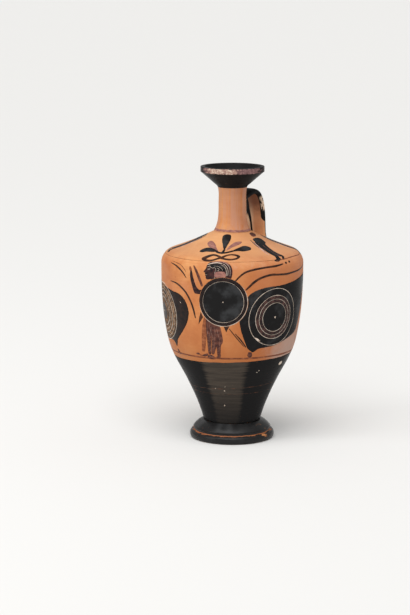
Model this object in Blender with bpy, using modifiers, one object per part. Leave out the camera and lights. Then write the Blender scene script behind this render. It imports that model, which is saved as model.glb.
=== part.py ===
"""A lekythos: a one-handled clay oil flask, thrown in sections and joined with luting clay.

Metres, +Z up. The origin is the centre of the foot's underside, and the handle is on the +Y side.
"""

import math

import bmesh
import bpy
from mathutils import Vector

OBJECT_NAME = "lekythos"

# Joints: air between touching pieces, the luting clay in a seat, and the seat's rim that covers it
CLEARANCE = 0.0003
LUTING_THICKNESS = 0.0009
SEAT_RIM = 0.0010

# Foot: a turned disc with a rounded edge, a narrow groove above it and a sloping top
FOOT_HEIGHT = 0.0142
FOOT_RADIUS = 0.0334
FOOT_REST_RADIUS = 0.0312
FOOT_EDGE_HEIGHT = 0.0060
FOOT_GROOVE_HEIGHT = 0.0026
FOOT_GROOVE_RADIUS = 0.0301
FOOT_SLOPE_RADIUS = 0.0306
FOOT_SEAT_MARGIN = 0.0006
FOOT_HOLLOW_RADIUS = 0.0200
FOOT_HOLLOW_DEPTH = 0.0035

# Body: a flared base, a taper, a tall wall, a rounded turn and a sloping shoulder, in one piece
BODY_BASE_RADIUS = 0.0225
BODY_FLARE_RADIUS = 0.0360
BODY_BEND_RADIUS = 0.0506
BODY_RADIUS = 0.0558
FLARE_HEIGHT = 0.0335
TAPER_HEIGHT = 0.0320
WALL_HEIGHT = 0.0600
TURN_HEIGHT = 0.0102
TURN_DEPTH = 0.0073
SHOULDER_RISE = 0.0143
BODY_WALL = 0.0045
BODY_FLOOR = 0.0060
SHOULDER_HOLE_MARGIN = 0.0014

# Neck: a slim tube with a flared base
NECK_BASE_RADIUS = 0.0146
NECK_RADIUS = 0.0109
NECK_TOP_RADIUS = 0.0115
NECK_FLARE_HEIGHT = 0.0211
NECK_UPPER_HEIGHT = 0.0126
NECK_WALL = 0.0028

# Mouth: a flaring cup with an upright lip and a flat top
MOUTH_RADIUS = 0.0250
COVE_RADIUS = 0.0145
COVE_HEIGHT = 0.0031
CONE_HEIGHT = 0.0089
LIP_HEIGHT = 0.0042
LIP_WIDTH = 0.0030
LIP_ROUND = 0.0004
CUP_FLOOR = 0.0040

# Handle: a strap that leaves the neck, arches out and comes down on the shoulder
HANDLE_WIDTH = 0.0164
HANDLE_THICKNESS = 0.0050
HANDLE_DROP = 0.0094
HANDLE_RISE = 0.0040
HANDLE_CREST_RADIUS = 0.0205
HANDLE_REACH = 0.0315
HANDLE_FALL = 0.0235
HANDLE_FOOT_RADIUS = 0.0335
HANDLE_TOP_RATIO = 0.95
HANDLE_RUN_RATIO = 0.92
HANDLE_ROOT_RATIO = 1.10

# Leans: radius gained for each unit of height, and for the shoulder height for each unit of radius
BASE_LEAN = 0.28
FLARE_LEAN = 0.50
BEND_LEAN = 0.22
EDGE_LEAN = 0.35
SHOULDER_LEAN = 0.50
NECK_BASE_LEAN = 0.60
NECK_TOP_LEAN = 0.25
COVE_LEAN = 0.40
CUP_TOP_LEAN = 0.45
CUP_FLOOR_LEAN = 0.30
FOOT_TOP_LEAN = 0.45
FOOT_SIDE_LEAN = 0.70
HOLLOW_LEAN = 0.30
HANDLE_TOP_LEAN = 0.55
HANDLE_RUN_LEAN = 0.05
HANDLE_ROOT_LEAN = 0.10

# Fineness: the turned pieces' sides, the segments of one curve, and how far a curve keeps its lean
TURN_STEPS = 48
CURVE_STEPS = 5
EDGE_STEPS = 8
STRAP_STEPS = 9
STRAP_ROUNDNESS = 6
CURVE_PULL = 0.35
WELD_DISTANCE = 0.00001

# Levels, from the foot upwards
BODY_HEIGHT = FLARE_HEIGHT + TAPER_HEIGHT + WALL_HEIGHT + TURN_HEIGHT + SHOULDER_RISE
NECK_HEIGHT = NECK_FLARE_HEIGHT + NECK_UPPER_HEIGHT
MOUTH_HEIGHT = COVE_HEIGHT + CONE_HEIGHT + LIP_HEIGHT
BODY_LEVEL = FOOT_HEIGHT + CLEARANCE
NECK_LEVEL = BODY_LEVEL + BODY_HEIGHT + CLEARANCE
MOUTH_LEVEL = NECK_LEVEL + NECK_HEIGHT + CLEARANCE
RECESS_DEPTH = LUTING_THICKNESS + CLEARANCE
BORE_RADIUS = NECK_RADIUS - NECK_WALL
SHOULDER_HOLE_RADIUS = BORE_RADIUS + SHOULDER_HOLE_MARGIN

# Finishes: colours as linear red, green and blue, and how rough each one is
FIRED_CLAY = (0.52, 0.22, 0.09)
BLACK_GLOSS = (0.016, 0.015, 0.014)
LUTING_CLAY = (0.58, 0.32, 0.17)
CLAY_ROUGHNESS = 0.55
GLOSS_ROUGHNESS = 0.25
LUTING_ROUGHNESS = 0.80


def clear_scene():
    """Remove the objects that a new file starts with."""
    for item in list(bpy.data.objects):
        bpy.data.objects.remove(item, do_unlink=True)


def new_collection(name):
    """Add a collection to the scene."""
    collection = bpy.data.collections.new(name)
    bpy.context.scene.collection.children.link(collection)
    return collection


def clay_material(name, colour, roughness):
    """Make a plain ceramic material."""
    material = bpy.data.materials.new(name)
    material.use_nodes = True
    shader = material.node_tree.nodes["Principled BSDF"]
    shader.inputs["Base Color"].default_value = (*colour, 1.0)
    shader.inputs["Roughness"].default_value = roughness
    shader.inputs["Metallic"].default_value = 0.0
    return material


def pulls(start, start_lean, end, end_lean):
    """Give the two inner control points of a curve that leaves and arrives along its leans."""
    reach = CURVE_PULL * (end - start).length
    return start + start_lean.normalized() * reach, end - end_lean.normalized() * reach


def curve_points(start, start_lean, end, end_lean, steps=CURVE_STEPS):
    """Sample a cubic curve from start to end, both ends included."""
    first, second = pulls(start, start_lean, end, end_lean)
    points = []
    for step in range(steps + 1):
        t = step / steps
        s = 1.0 - t
        points.append(start * s**3 + first * (3 * s * s * t) + second * (3 * s * t * t) + end * t**3)
    return points


def outline_through(knots):
    """Join curves through knots, each a point and the lean of the outline there."""
    points = [knots[0][0]]
    for (start, start_lean), (end, end_lean) in zip(knots, knots[1:]):
        points += curve_points(start, start_lean, end, end_lean)[1:]
    return points


def offset_outline(points, distance):
    """Move an outline that runs down an outer side away from the axis, square to itself."""
    moved = []
    for index, point in enumerate(points):
        before = points[max(index - 1, 0)]
        after = points[min(index + 1, len(points) - 1)]
        run = (after - before).normalized()
        moved.append(point + Vector((-run.y, run.x)) * distance)
    return moved


def height_at(points, radius):
    """Read an outline's height at a radius, on the stretch where the radius grows."""
    for upper, lower in zip(points, points[1:]):
        if upper.x <= radius <= lower.x:
            return upper.y + (lower.y - upper.y) * (radius - upper.x) / (lower.x - upper.x)
    raise ValueError("the outline does not reach this radius")


def turned(name, outline, level, collection, material=None, closed=False):
    """Turn an outline of radii and heights about the axis, at a level above the ground."""
    mesh = bpy.data.meshes.new(name)
    corners = [(point.x, 0.0, point.y) for point in outline]
    edges = [(index, index + 1) for index in range(len(corners) - 1)]
    if closed:
        edges.append((len(corners) - 1, 0))
    mesh.from_pydata(corners, edges, [])
    piece = bpy.data.objects.new(name, mesh)
    piece.location.z = level
    if material:
        mesh.materials.append(material)
    screw = piece.modifiers.new("turn", "SCREW")
    screw.angle = 2.0 * math.pi
    screw.steps = TURN_STEPS
    screw.render_steps = TURN_STEPS
    screw.use_merge_vertices = True
    screw.merge_threshold = WELD_DISTANCE
    screw.use_smooth_shade = True
    collection.objects.link(piece)
    return piece


def turned_cutter(name, side, level, distance, collection):
    """Make a solid of revolution that stands out from a piece's side by a distance."""
    moved = offset_outline(side, distance)
    outline = [Vector((0.0, moved[0].y))] + moved + [Vector((0.0, moved[-1].y))]
    cutter = turned(name, outline, level, collection)
    cutter.hide_render = True
    cutter.display_type = "WIRE"
    return cutter


def body_side():
    """The body's outer side, from the neck's seat down to the base."""
    bend_level = FLARE_HEIGHT + TAPER_HEIGHT
    widest_level = bend_level + WALL_HEIGHT
    edge_level = widest_level + TURN_HEIGHT
    return outline_through([
        (Vector((NECK_BASE_RADIUS, BODY_HEIGHT)), Vector((1.0, -SHOULDER_LEAN))),
        (Vector((BODY_RADIUS - TURN_DEPTH, edge_level)), Vector((1.0, -EDGE_LEAN))),
        (Vector((BODY_RADIUS, widest_level)), Vector((0.0, -1.0))),
        (Vector((BODY_BEND_RADIUS, bend_level)), Vector((-BEND_LEAN, -1.0))),
        (Vector((BODY_FLARE_RADIUS, FLARE_HEIGHT)), Vector((-FLARE_LEAN, -1.0))),
        (Vector((BODY_BASE_RADIUS, 0.0)), Vector((-BASE_LEAN, -1.0))),
    ])


def neck_side():
    """The neck's outer side, from the mouth's seat down to the shoulder."""
    return outline_through([
        (Vector((NECK_TOP_RADIUS, NECK_HEIGHT)), Vector((-NECK_TOP_LEAN, -1.0))),
        (Vector((NECK_RADIUS, NECK_FLARE_HEIGHT)), Vector((0.0, -1.0))),
        (Vector((NECK_BASE_RADIUS, 0.0)), Vector((NECK_BASE_LEAN, -1.0))),
    ])


def seat_recess(inner_radius, outer_radius, level):
    """The step in a seat that holds its luting clay, from the middle out to the rim."""
    floor = level - RECESS_DEPTH
    recess_radius = outer_radius - SEAT_RIM
    return [Vector((inner_radius, floor)), Vector((recess_radius, floor)), Vector((recess_radius, level))]


def make_foot(parts, material):
    """The turned foot, with the body's seat on top and a hollowed underside."""
    groove_top = FOOT_EDGE_HEIGHT + FOOT_GROOVE_HEIGHT
    slope = curve_points(
        Vector((BODY_BASE_RADIUS + FOOT_SEAT_MARGIN, FOOT_HEIGHT)), Vector((1.0, -FOOT_TOP_LEAN)),
        Vector((FOOT_SLOPE_RADIUS, groove_top)), Vector((FOOT_SIDE_LEAN, -1.0)))
    groove = [Vector((FOOT_GROOVE_RADIUS, groove_top)), Vector((FOOT_GROOVE_RADIUS, FOOT_EDGE_HEIGHT))]
    edge = []
    for step in range(EDGE_STEPS + 1):
        turn = math.pi * step / EDGE_STEPS
        radius = FOOT_REST_RADIUS + (FOOT_RADIUS - FOOT_REST_RADIUS) * math.sin(turn)
        edge.append(Vector((radius, FOOT_EDGE_HEIGHT * (1.0 + math.cos(turn)) / 2.0)))
    hollow = curve_points(
        Vector((FOOT_HOLLOW_RADIUS, 0.0)), Vector((-HOLLOW_LEAN, 1.0)),
        Vector((0.0, FOOT_HOLLOW_DEPTH)), Vector((-1.0, 0.0)))
    top = seat_recess(0.0, BODY_BASE_RADIUS, FOOT_HEIGHT)
    return turned("foot", top + slope + groove + edge + hollow, 0.0, parts, material)


def make_body(parts, material):
    """The hollow body, whose inner wall follows the outer side at the wall's thickness."""
    side = body_side()
    inner = offset_outline(side, -BODY_WALL)
    hole_edge = Vector((SHOULDER_HOLE_RADIUS, BODY_HEIGHT - BODY_WALL))
    inner = [hole_edge] + [
        point for point in inner if point.x > SHOULDER_HOLE_RADIUS and point.y > BODY_FLOOR
    ]
    corner = Vector((inner[-1].x - (inner[-1].y - BODY_FLOOR), BODY_FLOOR))
    inside = [Vector((0.0, BODY_FLOOR)), corner] + inner[::-1]
    seat = seat_recess(SHOULDER_HOLE_RADIUS, NECK_BASE_RADIUS, BODY_HEIGHT)
    return turned("body", inside + seat + side + [Vector((0.0, 0.0))], BODY_LEVEL, parts, material)


def make_neck(parts, material):
    """The neck tube, with the mouth's seat on top."""
    bottom = [Vector((BORE_RADIUS, 0.0))]
    seat = seat_recess(BORE_RADIUS, NECK_TOP_RADIUS, NECK_HEIGHT)
    return turned("neck", neck_side() + bottom + seat, NECK_LEVEL, parts, material, closed=True)


def make_mouth(parts, material):
    """The cup mouth: an upright lip, a conical underside with a cove, and a round-bottomed cup."""
    lip_level = COVE_HEIGHT + CONE_HEIGHT
    lip = [
        Vector((MOUTH_RADIUS - LIP_ROUND, MOUTH_HEIGHT)),
        Vector((MOUTH_RADIUS, MOUTH_HEIGHT - LIP_ROUND)),
        Vector((MOUTH_RADIUS, lip_level + LIP_ROUND)),
        Vector((MOUTH_RADIUS - LIP_ROUND, lip_level)),
    ]
    cove_start = Vector((COVE_RADIUS, COVE_HEIGHT))
    cove = curve_points(
        cove_start, cove_start - lip[-1],
        Vector((NECK_TOP_RADIUS, 0.0)), Vector((-COVE_LEAN, -1.0)))
    cup = curve_points(
        Vector((BORE_RADIUS, CUP_FLOOR)), Vector((1.0, CUP_FLOOR_LEAN)),
        Vector((MOUTH_RADIUS - LIP_WIDTH, MOUTH_HEIGHT)), Vector((CUP_TOP_LEAN, 1.0)))
    bottom = [Vector((BORE_RADIUS, 0.0))]
    return turned("mouth", lip + cove + bottom + cup, MOUTH_LEVEL, parts, material, closed=True)


def make_bed(name, inner_radius, seat_radius, level, parts, material):
    """The bed of luting clay that fills the recess of a seat whose top is at a level."""
    outer_radius = seat_radius - SEAT_RIM - CLEARANCE
    outline = [
        Vector((inner_radius, LUTING_THICKNESS)),
        Vector((outer_radius, LUTING_THICKNESS)),
        Vector((outer_radius, 0.0)),
        Vector((inner_radius, 0.0)),
    ]
    return turned(name, outline, level - LUTING_THICKNESS, parts, material, closed=inner_radius > 0.0)


def strap_mesh():
    """The strap as one solid that runs from inside the neck's wall into the shoulder's wall."""
    root_level = MOUTH_LEVEL - HANDLE_DROP
    crest_level = root_level + HANDLE_RISE
    shoulder_level = BODY_LEVEL + height_at(body_side(), HANDLE_FOOT_RADIUS)
    knots = [
        (Vector((0.0, NECK_RADIUS - NECK_WALL / 2.0, root_level)), Vector((0.0, 1.0, HANDLE_TOP_LEAN))),
        (Vector((0.0, HANDLE_CREST_RADIUS, crest_level)), Vector((0.0, 1.0, 0.0))),
        (Vector((0.0, HANDLE_REACH, crest_level - HANDLE_FALL)), Vector((0.0, HANDLE_RUN_LEAN, -1.0))),
        (Vector((0.0, HANDLE_FOOT_RADIUS, shoulder_level - BODY_WALL / 2.0)),
         Vector((0.0, HANDLE_ROOT_LEAN, -1.0))),
    ]
    ratios = [HANDLE_TOP_RATIO, 1.0, HANDLE_RUN_RATIO, HANDLE_ROOT_RATIO]
    curve = bpy.data.curves.new("strap_path", "CURVE")
    curve.dimensions = "3D"
    curve.bevel_depth = HANDLE_THICKNESS / 2.0
    curve.bevel_resolution = STRAP_ROUNDNESS
    curve.resolution_u = STRAP_STEPS
    curve.use_fill_caps = True
    spline = curve.splines.new("BEZIER")
    spline.bezier_points.add(len(knots) - 1)
    for point, (place, lean), ratio in zip(spline.bezier_points, knots, ratios):
        point.co = place
        point.handle_left_type = "FREE"
        point.handle_right_type = "FREE"
        point.handle_left = place - lean
        point.handle_right = place + lean
        point.radius = ratio
    for index in range(len(knots) - 1):
        first, second = pulls(*knots[index], *knots[index + 1])
        spline.bezier_points[index].handle_right = first
        spline.bezier_points[index + 1].handle_left = second
    path = bpy.data.objects.new("strap_path", curve)
    bpy.context.scene.collection.objects.link(path)
    mesh = bpy.data.meshes.new_from_object(path.evaluated_get(bpy.context.evaluated_depsgraph_get()))
    bpy.data.objects.remove(path, do_unlink=True)
    flat = bmesh.new()
    flat.from_mesh(mesh)
    bmesh.ops.remove_doubles(flat, verts=flat.verts, dist=WELD_DISTANCE)
    bmesh.ops.scale(flat, verts=flat.verts, vec=(HANDLE_WIDTH / HANDLE_THICKNESS, 1.0, 1.0))
    flat.to_mesh(mesh)
    flat.free()
    mesh.shade_smooth()
    return mesh


def strap_piece(name, mesh, cuts, parts, material):
    """A copy of the strap, cut by solids: each cut is an operation and its cutter."""
    piece = bpy.data.objects.new(name, mesh.copy())
    piece.data.materials.clear()
    piece.data.materials.append(material)
    for operation, cutter in cuts:
        boolean = piece.modifiers.new(operation.lower(), "BOOLEAN")
        boolean.operation = operation
        boolean.object = cutter
    parts.objects.link(piece)
    return piece


def make_handle(parts, cutters, handle_clay, luting_clay):
    """The strap handle and the pads of luting clay at its two ends."""
    strap = strap_mesh()
    pad_face = CLEARANCE + LUTING_THICKNESS
    strap_face = pad_face + CLEARANCE
    ends = [
        ("handle_top_luting", neck_side(), NECK_LEVEL),
        ("handle_root_luting", body_side(), BODY_LEVEL),
    ]
    strap_cuts = []
    for name, side, level in ends:
        seat = turned_cutter(name + "_seat", side, level, CLEARANCE, cutters)
        outside = turned_cutter(name + "_outside", side, level, pad_face, cutters)
        strap_end = turned_cutter(name + "_strap_end", side, level, strap_face, cutters)
        strap_piece(name, strap, [("INTERSECT", outside), ("DIFFERENCE", seat)], parts, luting_clay)
        strap_cuts.append(("DIFFERENCE", strap_end))
    strap_piece("handle", strap, strap_cuts, parts, handle_clay)


def main():
    """Build the flask."""
    clear_scene()
    parts = new_collection(OBJECT_NAME)
    cutters = new_collection(OBJECT_NAME + "_cutters")
    fired_clay = clay_material("fired_clay", FIRED_CLAY, CLAY_ROUGHNESS)
    black_gloss = clay_material("black_gloss", BLACK_GLOSS, GLOSS_ROUGHNESS)
    luting_clay = clay_material("luting_clay", LUTING_CLAY, LUTING_ROUGHNESS)
    make_foot(parts, black_gloss)
    make_body(parts, fired_clay)
    make_neck(parts, fired_clay)
    make_mouth(parts, black_gloss)
    make_bed("foot_luting", 0.0, BODY_BASE_RADIUS, FOOT_HEIGHT, parts, luting_clay)
    make_bed(
        "neck_luting", SHOULDER_HOLE_RADIUS, NECK_BASE_RADIUS, BODY_LEVEL + BODY_HEIGHT, parts, luting_clay)
    make_bed("mouth_luting", BORE_RADIUS, NECK_TOP_RADIUS, NECK_LEVEL + NECK_HEIGHT, parts, luting_clay)
    make_handle(parts, cutters, black_gloss, luting_clay)


main()
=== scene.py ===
import math

import bmesh
import bpy
import numpy as np
from mathutils import Matrix, Vector, noise
from mathutils.bvhtree import BVHTree
from mathutils.geometry import delaunay_2d_cdt


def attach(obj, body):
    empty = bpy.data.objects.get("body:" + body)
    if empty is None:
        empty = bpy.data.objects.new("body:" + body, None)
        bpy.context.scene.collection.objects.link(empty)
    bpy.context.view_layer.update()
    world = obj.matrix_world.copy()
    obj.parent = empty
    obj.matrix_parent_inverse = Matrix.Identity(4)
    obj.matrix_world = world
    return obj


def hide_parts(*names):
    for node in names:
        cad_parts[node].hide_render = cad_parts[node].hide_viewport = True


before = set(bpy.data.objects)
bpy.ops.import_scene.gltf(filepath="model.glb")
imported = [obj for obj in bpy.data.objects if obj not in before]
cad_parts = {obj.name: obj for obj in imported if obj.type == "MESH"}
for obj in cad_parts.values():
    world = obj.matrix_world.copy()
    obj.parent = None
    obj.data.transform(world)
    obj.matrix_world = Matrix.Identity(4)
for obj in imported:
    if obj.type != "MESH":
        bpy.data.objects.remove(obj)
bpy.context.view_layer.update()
print("frame loaded:", len(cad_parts), "solids")

mm = 0.001


class Wire:
    # a socket in a node tree: sums on it add Math nodes, and node() adds any other node
    def __init__(self, tree, socket=None):
        self.tree = tree
        self.socket = socket

    def node(self, kind, settings=None, values=None, out=0):
        made = self.tree.nodes.new(kind)
        for name, value in (settings or {}).items():
            setattr(made, name, value)
        self.feed(made, values or {})
        return Wire(self.tree, made.outputs[out])

    def feed(self, made, values):
        for name, value in values.items():
            if isinstance(value, Wire):
                self.tree.links.new(value.socket, made.inputs[name])
            else:
                made.inputs[name].default_value = value

    def sum(self, operation, first, second):
        return self.node("ShaderNodeMath", {"operation": operation}, {0: first, 1: second})

    def __add__(self, other):
        return self.sum("ADD", self, other)

    def __radd__(self, other):
        return self.sum("ADD", other, self)

    def __sub__(self, other):
        return self.sum("SUBTRACT", self, other)

    def __rsub__(self, other):
        return self.sum("SUBTRACT", other, self)

    def __mul__(self, other):
        return self.sum("MULTIPLY", self, other)

    def __rmul__(self, other):
        return self.sum("MULTIPLY", other, self)

    def __truediv__(self, other):
        return self.sum("DIVIDE", self, other)

    def ramp(self, low, high):
        return self.node("ShaderNodeMapRange", {"interpolation_type": "SMOOTHSTEP"},
                         {"Value": self, "From Min": low, "From Max": high})

    def mix(self, first, second):
        ends = [value if isinstance(value, Wire) else (*value, 1.0) for value in (first, second)]
        return self.node("ShaderNodeMix", {"data_type": "RGBA"}, {0: self, 6: ends[0], 7: ends[1]}, out=2)

    def part(self, index):
        # one coordinate of a vector
        return self.node("ShaderNodeSeparateXYZ", None, {0: self}, out=index)

    def joined(self, x, y, z):
        return self.node("ShaderNodeCombineXYZ", None, {0: x, 1: y, 2: z})

    def vector(self, operation, first, second=(0.0, 0.0, 0.0), out=0):
        # out is 0 for a vector and 1 for a number
        return self.node("ShaderNodeVectorMath", {"operation": operation}, {0: first, 1: second}, out)


# outlines in millimetres: radius and height, and at a knot also the lean of the line


def unit(vector):
    return vector / np.linalg.norm(vector)


def leanCurve(knots, steps, pull=0.35):
    # a smooth line through knots of place and lean, as the solids' outlines are drawn
    line = [np.array(knots[0][:2], float)]
    for first, last in zip(knots, knots[1:]):
        start, end = np.array(first[:2], float), np.array(last[:2], float)
        reach = pull * np.linalg.norm(end - start)
        leave = start + unit(np.array(first[2:], float)) * reach
        arrive = end - unit(np.array(last[2:], float)) * reach
        for step in range(1, steps + 1):
            t = step / steps
            s = 1.0 - t
            line.append(start * s**3 + leave * (3 * s * s * t) + arrive * (3 * s * t * t) + end * t**3)
    return np.array(line)


def offsetLine(line, distance):
    run = np.gradient(line, axis=0)
    run /= np.linalg.norm(run, axis=1)[:, None]
    return line + np.stack([-run[:, 1], run[:, 0]], 1) * distance


def softened(line, radius, closed=False, steps=4, sharp=math.radians(28)):
    # round each hard corner of an outline
    line = [np.array(point, float) for point in line]
    out = []
    for index, point in enumerate(line):
        if not closed and index in (0, len(line) - 1):
            out.append(point)
            continue
        before = line[index - 1] - point
        after = line[(index + 1) % len(line)] - point
        lengths = np.linalg.norm(before), np.linalg.norm(after)
        turn = math.acos(max(-1.0, min(1.0, float(-before @ after / lengths[0] / lengths[1]))))
        if turn < sharp:
            out.append(point)
            continue
        reach = min(radius, lengths[0] * 0.45, lengths[1] * 0.45)
        first = point + before / lengths[0] * reach
        last = point + after / lengths[1] * reach
        for step in range(steps + 1):
            t = step / steps
            out.append(first * (1 - t) ** 2 + point * (2 * t * (1 - t)) + last * t * t)
    return np.array(out)


# the wheel: a Geometry Nodes tree that turns an outline into a pot section

wheelLook = {"ridgeTurn": 0.6, "swayTurn": 0.9, "swayScale": 14.0, "axisReach": 0.006, "weld": 0.000002}


def newTree(name, result, inputs):
    tree = bpy.data.node_groups.new(name, "GeometryNodeTree")
    for label, kind in inputs.items():
        tree.interface.new_socket(label, in_out="INPUT", socket_type="NodeSocket" + kind)
    tree.interface.new_socket(result, in_out="OUTPUT", socket_type="NodeSocketGeometry")
    entry = tree.nodes.new("NodeGroupInput")
    return Wire(tree), {label: Wire(tree, entry.outputs[label]) for label in inputs}


def closeTree(desk, shape, finish):
    # the export drops instances, so a tree ends in real faces with their finish
    real = desk.node("GeometryNodeRealizeInstances", None, {"Geometry": shape})
    dressed = desk.node("GeometryNodeSetMaterial", None, {"Geometry": real, "Material": finish})
    leave = desk.tree.nodes.new("NodeGroupOutput")
    desk.tree.links.new(dressed.socket, leave.inputs[0])
    return desk.tree


def wheelTree():
    look = wheelLook
    desk, given = newTree("thrownOnTheWheel", "Section", {
        "Outline": "Geometry", "Sides": "Int", "Rings": "Int", "Ridge Depth": "Float", "Ridge Scale": "Float",
        "Sway Depth": "Float", "Seed": "Float", "Finish": "Material"})
    seed = given["Seed"]
    grid = desk.node("GeometryNodeMeshGrid", None, {
        "Size X": 1.0, "Size Y": 1.0, "Vertices X": given["Sides"] + 1, "Vertices Y": given["Rings"]})
    spot = desk.node("GeometryNodeInputPosition")
    angle = (spot.part(0) + 0.5) * (2.0 * math.pi)
    row = desk.node("FunctionNodeFloatToInt", {"rounding_mode": "ROUND"},
                    {0: (spot.part(1) + 0.5) * (given["Rings"] - 1)})
    knot = desk.node("GeometryNodeSampleIndex", {"data_type": "FLOAT_VECTOR", "domain": "POINT"},
                     {"Geometry": given["Outline"], "Value": spot, "Index": row})
    radius, height = knot.part(0), knot.part(2)
    sine = desk.node("ShaderNodeMath", {"operation": "SINE"}, {0: angle})
    cosine = desk.node("ShaderNodeMath", {"operation": "COSINE"}, {0: angle})
    # throwing ridges run round the pot; sway is the slow unevenness of a hand-thrown wall
    ridgeSpot = desk.joined(sine * look["ridgeTurn"] + seed, cosine * look["ridgeTurn"],
                            height * given["Ridge Scale"])
    ridges = desk.node("ShaderNodeTexNoise", None, {"Vector": ridgeSpot, "Scale": 1.0, "Detail": 2.0})
    swaySpot = desk.joined(sine * look["swayTurn"], cosine * look["swayTurn"] + seed,
                           height * look["swayScale"])
    sway = desk.node("ShaderNodeTexNoise", None, {"Vector": swaySpot, "Scale": 1.0, "Detail": 1.0})
    reach = (radius / look["axisReach"]).ramp(0.0, 1.0)
    drawnIn = radius - (ridges * given["Ridge Depth"] + sway * given["Sway Depth"]) * reach
    place = desk.joined(drawnIn * sine, 0.0 - drawnIn * cosine, height)
    shaped = desk.node("GeometryNodeSetPosition", None, {"Geometry": grid, "Position": place})
    welded = desk.node("GeometryNodeMergeByDistance", None, {"Geometry": shaped, "Distance": look["weld"]})
    smooth = desk.node("GeometryNodeSetShadeSmooth", None, {"Geometry": welded})
    return closeTree(desk, smooth, given["Finish"])


def setTree(holder, tree, values):
    step = holder.modifiers.new(tree.name, "NODES")
    step.node_group = tree
    for item in tree.interface.items_tree:
        if item.in_out == "INPUT" and item.name in values:
            step[item.identifier] = values[item.name]


def addObject(name, data):
    holder = bpy.data.objects.new(name, data)
    bpy.context.scene.collection.objects.link(holder)
    return holder


def plainMesh(holder, name):
    # the evaluated result as a plain closed mesh at the origin, faces out
    bpy.context.view_layer.update()
    shape = bpy.data.meshes.new_from_object(holder.evaluated_get(bpy.context.evaluated_depsgraph_get()))
    shape.name = name
    for modifier in list(holder.modifiers):
        holder.modifiers.remove(modifier)
    old = holder.data
    holder.data = shape
    bpy.data.meshes.remove(old)
    work = bmesh.new()
    work.from_mesh(shape)
    bmesh.ops.dissolve_degenerate(work, dist=1e-7, edges=work.edges)
    bmesh.ops.recalc_face_normals(work, faces=work.faces)
    if work.calc_volume(signed=True) < 0:
        bmesh.ops.reverse_faces(work, faces=work.faces)
    work.to_mesh(shape)
    work.free()
    return holder


def throwPiece(name, line, finish, look):
    outline = bpy.data.meshes.new(name + "Outline")
    corners = [(radius * mm, 0.0, height * mm) for radius, height in line]
    outline.from_pydata(corners, [(index, index + 1) for index in range(len(corners) - 1)], [])
    piece = addObject(name, outline)
    setTree(piece, wheel, {
        "Sides": look["sides"], "Rings": len(corners), "Ridge Depth": look["ridgeDepth"] * mm,
        "Ridge Scale": look["ridgeScale"], "Sway Depth": look["swayDepth"] * mm, "Seed": look["seed"],
        "Finish": finish})
    return plainMesh(piece, name)


def settle(piece, slotName, *nodes):
    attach(piece, "root")
    if nodes:
        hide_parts(*nodes)
    return piece


# finishes: a cloud is a noise of some scale, detail and roughness, and it may be stretched along each axis


def newFinish(name):
    material = bpy.data.materials.new(name)
    material.use_nodes = True
    desk = Wire(material.node_tree)
    return material, desk, desk.node("ShaderNodeTexCoord", out=3)  # object coordinates


def dress(material, desk, colour, rough, shine, height, bump):
    # the looks go to the shader, with the height as a bump of some strength and depth
    normal = desk.node("ShaderNodeBump", None, {"Strength": bump[0], "Distance": bump[1], "Height": height})
    desk.feed(material.node_tree.nodes["Principled BSDF"], {
        "Base Color": colour, "Roughness": rough, "Specular IOR Level": shine, "Normal": normal})
    return material


def cloud(desk, place, scale, detail=4.0, rough=0.55, stretch=None):
    if stretch:
        place = desk.node("ShaderNodeMapping", None, {"Vector": place, "Scale": stretch})
    return desk.node("ShaderNodeTexNoise", None, {
        "Vector": place, "Scale": scale, "Detail": detail, "Roughness": rough})


def clouds(desk, place, shapes):
    return {name: cloud(desk, place, *shape) for name, shape in shapes.items()}


def flattened(desk, place):
    return desk.vector("MULTIPLY", place, (1.0, 1.0, 0.0))


def facing(desk, place):
    # the direction in which the pot's surface looks out, level with the floor
    return desk.vector("NORMALIZE", flattened(desk, place))


def turnedTo(desk, place, way):
    # 1 where the pot faces a direction, 0 square to it
    return desk.vector("DOT_PRODUCT", facing(desk, place), way, 1)


def nearTo(desk, place, spot, reach):
    # 1 at a spot, 0 at its reach and below 0 beyond
    return 1.0 - desk.vector("DISTANCE", place, spot, 1) / reach


def between(value, low, high, soft):
    return (value - low).ramp(0.0, soft) * (high - value).ramp(0.0, soft)


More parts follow.
